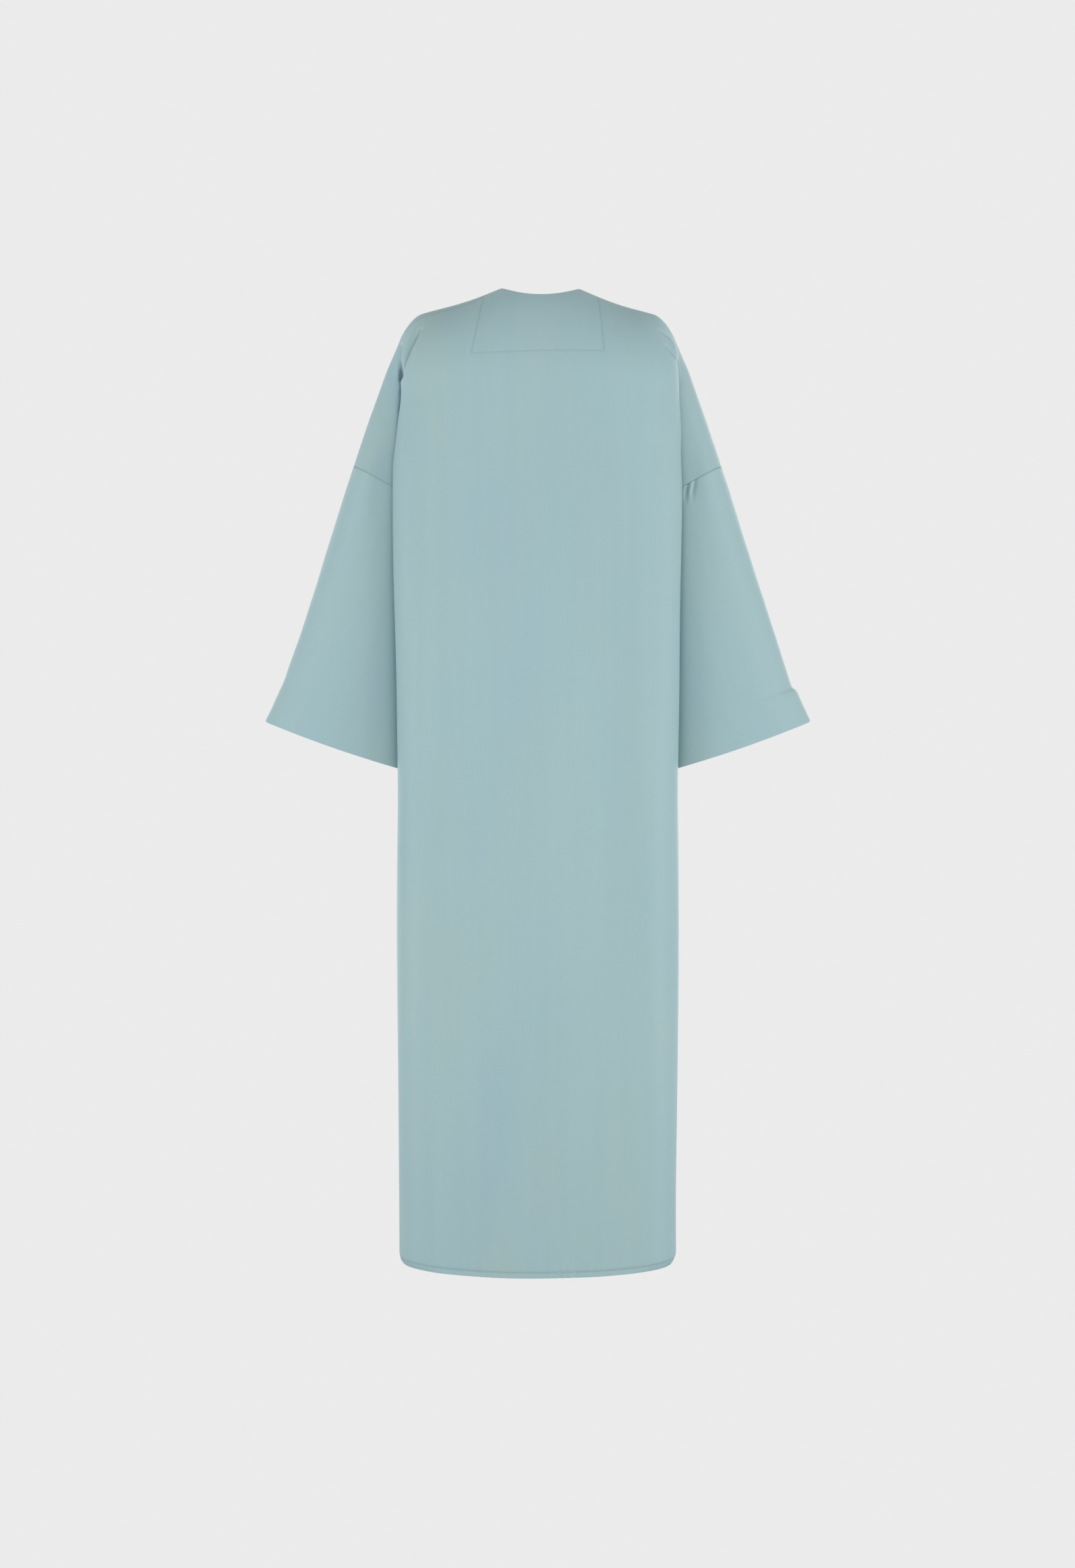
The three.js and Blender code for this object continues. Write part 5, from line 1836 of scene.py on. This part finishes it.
@dataclass
class Studio:
    """A pale studio: one camera behind the gown, soft lights and a floor."""

    backdrop: tuple[float, float, float, float] = rgb(235, 235, 235)
    camera_x: float = 0.0003
    camera_distance: float = 3.7
    camera_level: float = 0.733
    view_height: float = 2.324
    sensor: float = 36.0
    floor_level: float = 1.62
    ambient: float = 0.565

    def build(self) -> None:
        """Makes the camera, the floor, the world and the lights."""
        self.camera()
        self.world()
        self.floor()
        self.lamp("key light", (-3.0, 1.75, -1.45), (0.0, 0.1, -0.90), 2.2, 85.0)
        self.lamp("fill light", (3.0, 1.85, -1.45), (0.0, 0.1, -0.90), 2.2, 78.0)
        self.lamp("middle light", (0.2, 4.3, -1.9), (0.0, 0.1, -0.95), 2.6, 44.0)
        self.lamp("front key", (-1.8, -3.4, -0.2), (0.0, -0.1, -0.75), 2.4, 46.0)
        self.lamp("front fill", (2.2, -3.2, -0.6), (0.0, -0.1, -0.75), 2.4, 30.0)
        view = bpy.context.scene.view_settings
        view.view_transform = "Standard"
        view.look = "None"

    def camera(self) -> None:
        """Places the camera behind the gown, level and square to its back."""
        data = bpy.data.cameras.new("camera")
        data.sensor_width = self.sensor
        data.sensor_fit = "AUTO"
        data.lens = self.sensor * self.camera_distance / self.view_height
        camera = bpy.data.objects.new("camera", data)
        camera.location = (self.camera_x, self.camera_distance, -self.camera_level)
        camera.rotation_euler = (math.pi / 2.0, 0.0, math.pi)
        bpy.context.scene.collection.objects.link(camera)
        bpy.context.scene.camera = camera

    def world(self) -> None:
        """Makes a plain backdrop for the camera and a dimmer light for everything else."""
        world = bpy.data.worlds.new("studio")
        bpy.context.scene.world = world
        world.use_nodes = True
        make = NodeMaker(world.node_tree)
        world.node_tree.nodes.clear()
        seen = make.add("ShaderNodeBackground", {"Color": self.backdrop, "Strength": 1.0})
        lit = make.add("ShaderNodeBackground", {"Color": (0.97, 0.99, 1.01, 1.0), "Strength": self.ambient})
        path = make.add("ShaderNodeLightPath")
        mix = make.add(
            "ShaderNodeMixShader",
            {0: path.outputs["Is Camera Ray"], 1: lit.outputs[0], 2: seen.outputs[0]},
        )
        make.add("ShaderNodeOutputWorld", {"Surface": mix.outputs[0]})

    def floor(self) -> None:
        """Makes the pale floor, which has the backdrop's own colour."""
        mesh = bpy.data.meshes.new("floor")
        half = 3.0
        corners = [(-half, -half), (half, -half), (half, half), (-half, half)]
        mesh.from_pydata([(x, y, -self.floor_level) for x, y in corners], [], [(0, 1, 2, 3)])
        floor = bpy.data.objects.new("floor", mesh)
        material = bpy.data.materials.new("pale floor")
        material.use_nodes = True
        make = NodeMaker(material.node_tree)
        material.node_tree.nodes.clear()
        seen = make.add("ShaderNodeEmission", {"Color": self.backdrop, "Strength": 1.0})
        matte = make.add("ShaderNodeBsdfDiffuse", {"Color": (0.55, 0.55, 0.55, 1.0)})
        path = make.add("ShaderNodeLightPath")
        mix = make.add(
            "ShaderNodeMixShader",
            {0: path.outputs["Is Camera Ray"], 1: matte.outputs[0], 2: seen.outputs[0]},
        )
        make.add("ShaderNodeOutputMaterial", {"Surface": mix.outputs[0]})
        mesh.materials.append(material)
        bpy.context.scene.collection.objects.link(floor)

    @staticmethod
    def lamp(name: str, place: Sequence[float], aim: Sequence[float], size: float, power: float) -> None:
        """Adds a large soft light.

        Args:
            name: Its name.
            place: Where it stands.
            aim: What it points at.
            size: The side of its square.
            power: Its power in watts.
        """
        data = bpy.data.lights.new(name, "AREA")
        data.shape = "SQUARE"
        data.size = size
        data.energy = power
        lamp = bpy.data.objects.new(name, data)
        lamp.location = place
        direction = Vector(aim) - Vector(place)
        lamp.rotation_euler = direction.to_track_quat("-Z", "Y").to_euler()
        bpy.context.scene.collection.objects.link(lamp)


# ---------------------------------------------------------------- flat sizes


@dataclass(frozen=True)
class FlatSize:
    """The size that a sheet was cut to before it was hung."""

    width: float
    length: float
    share: float
    held: str
    rests_on: tuple[str, ...]
    trims: tuple[str, ...] = ()


def main() -> None:
    """Builds the gown, sub-assembly by sub-assembly, and the studio round it."""
    logging.basicConfig(level=logging.INFO, format="%(name)s %(message)s")
    Studio().build()
    cut = Cut()
    drape = Drape(cut)
    wardrobe = Wardrobe()
    body = Body(cut, drape, BodyWeaver(cut, drape), wardrobe)
    pieces = body.build()
    pieces.update(Sleeves(cut, drape, wardrobe).build())
    stitch_all(body, pieces, wardrobe)
    PressStuds(wardrobe).build()


if __name__ == "__main__":
    main()
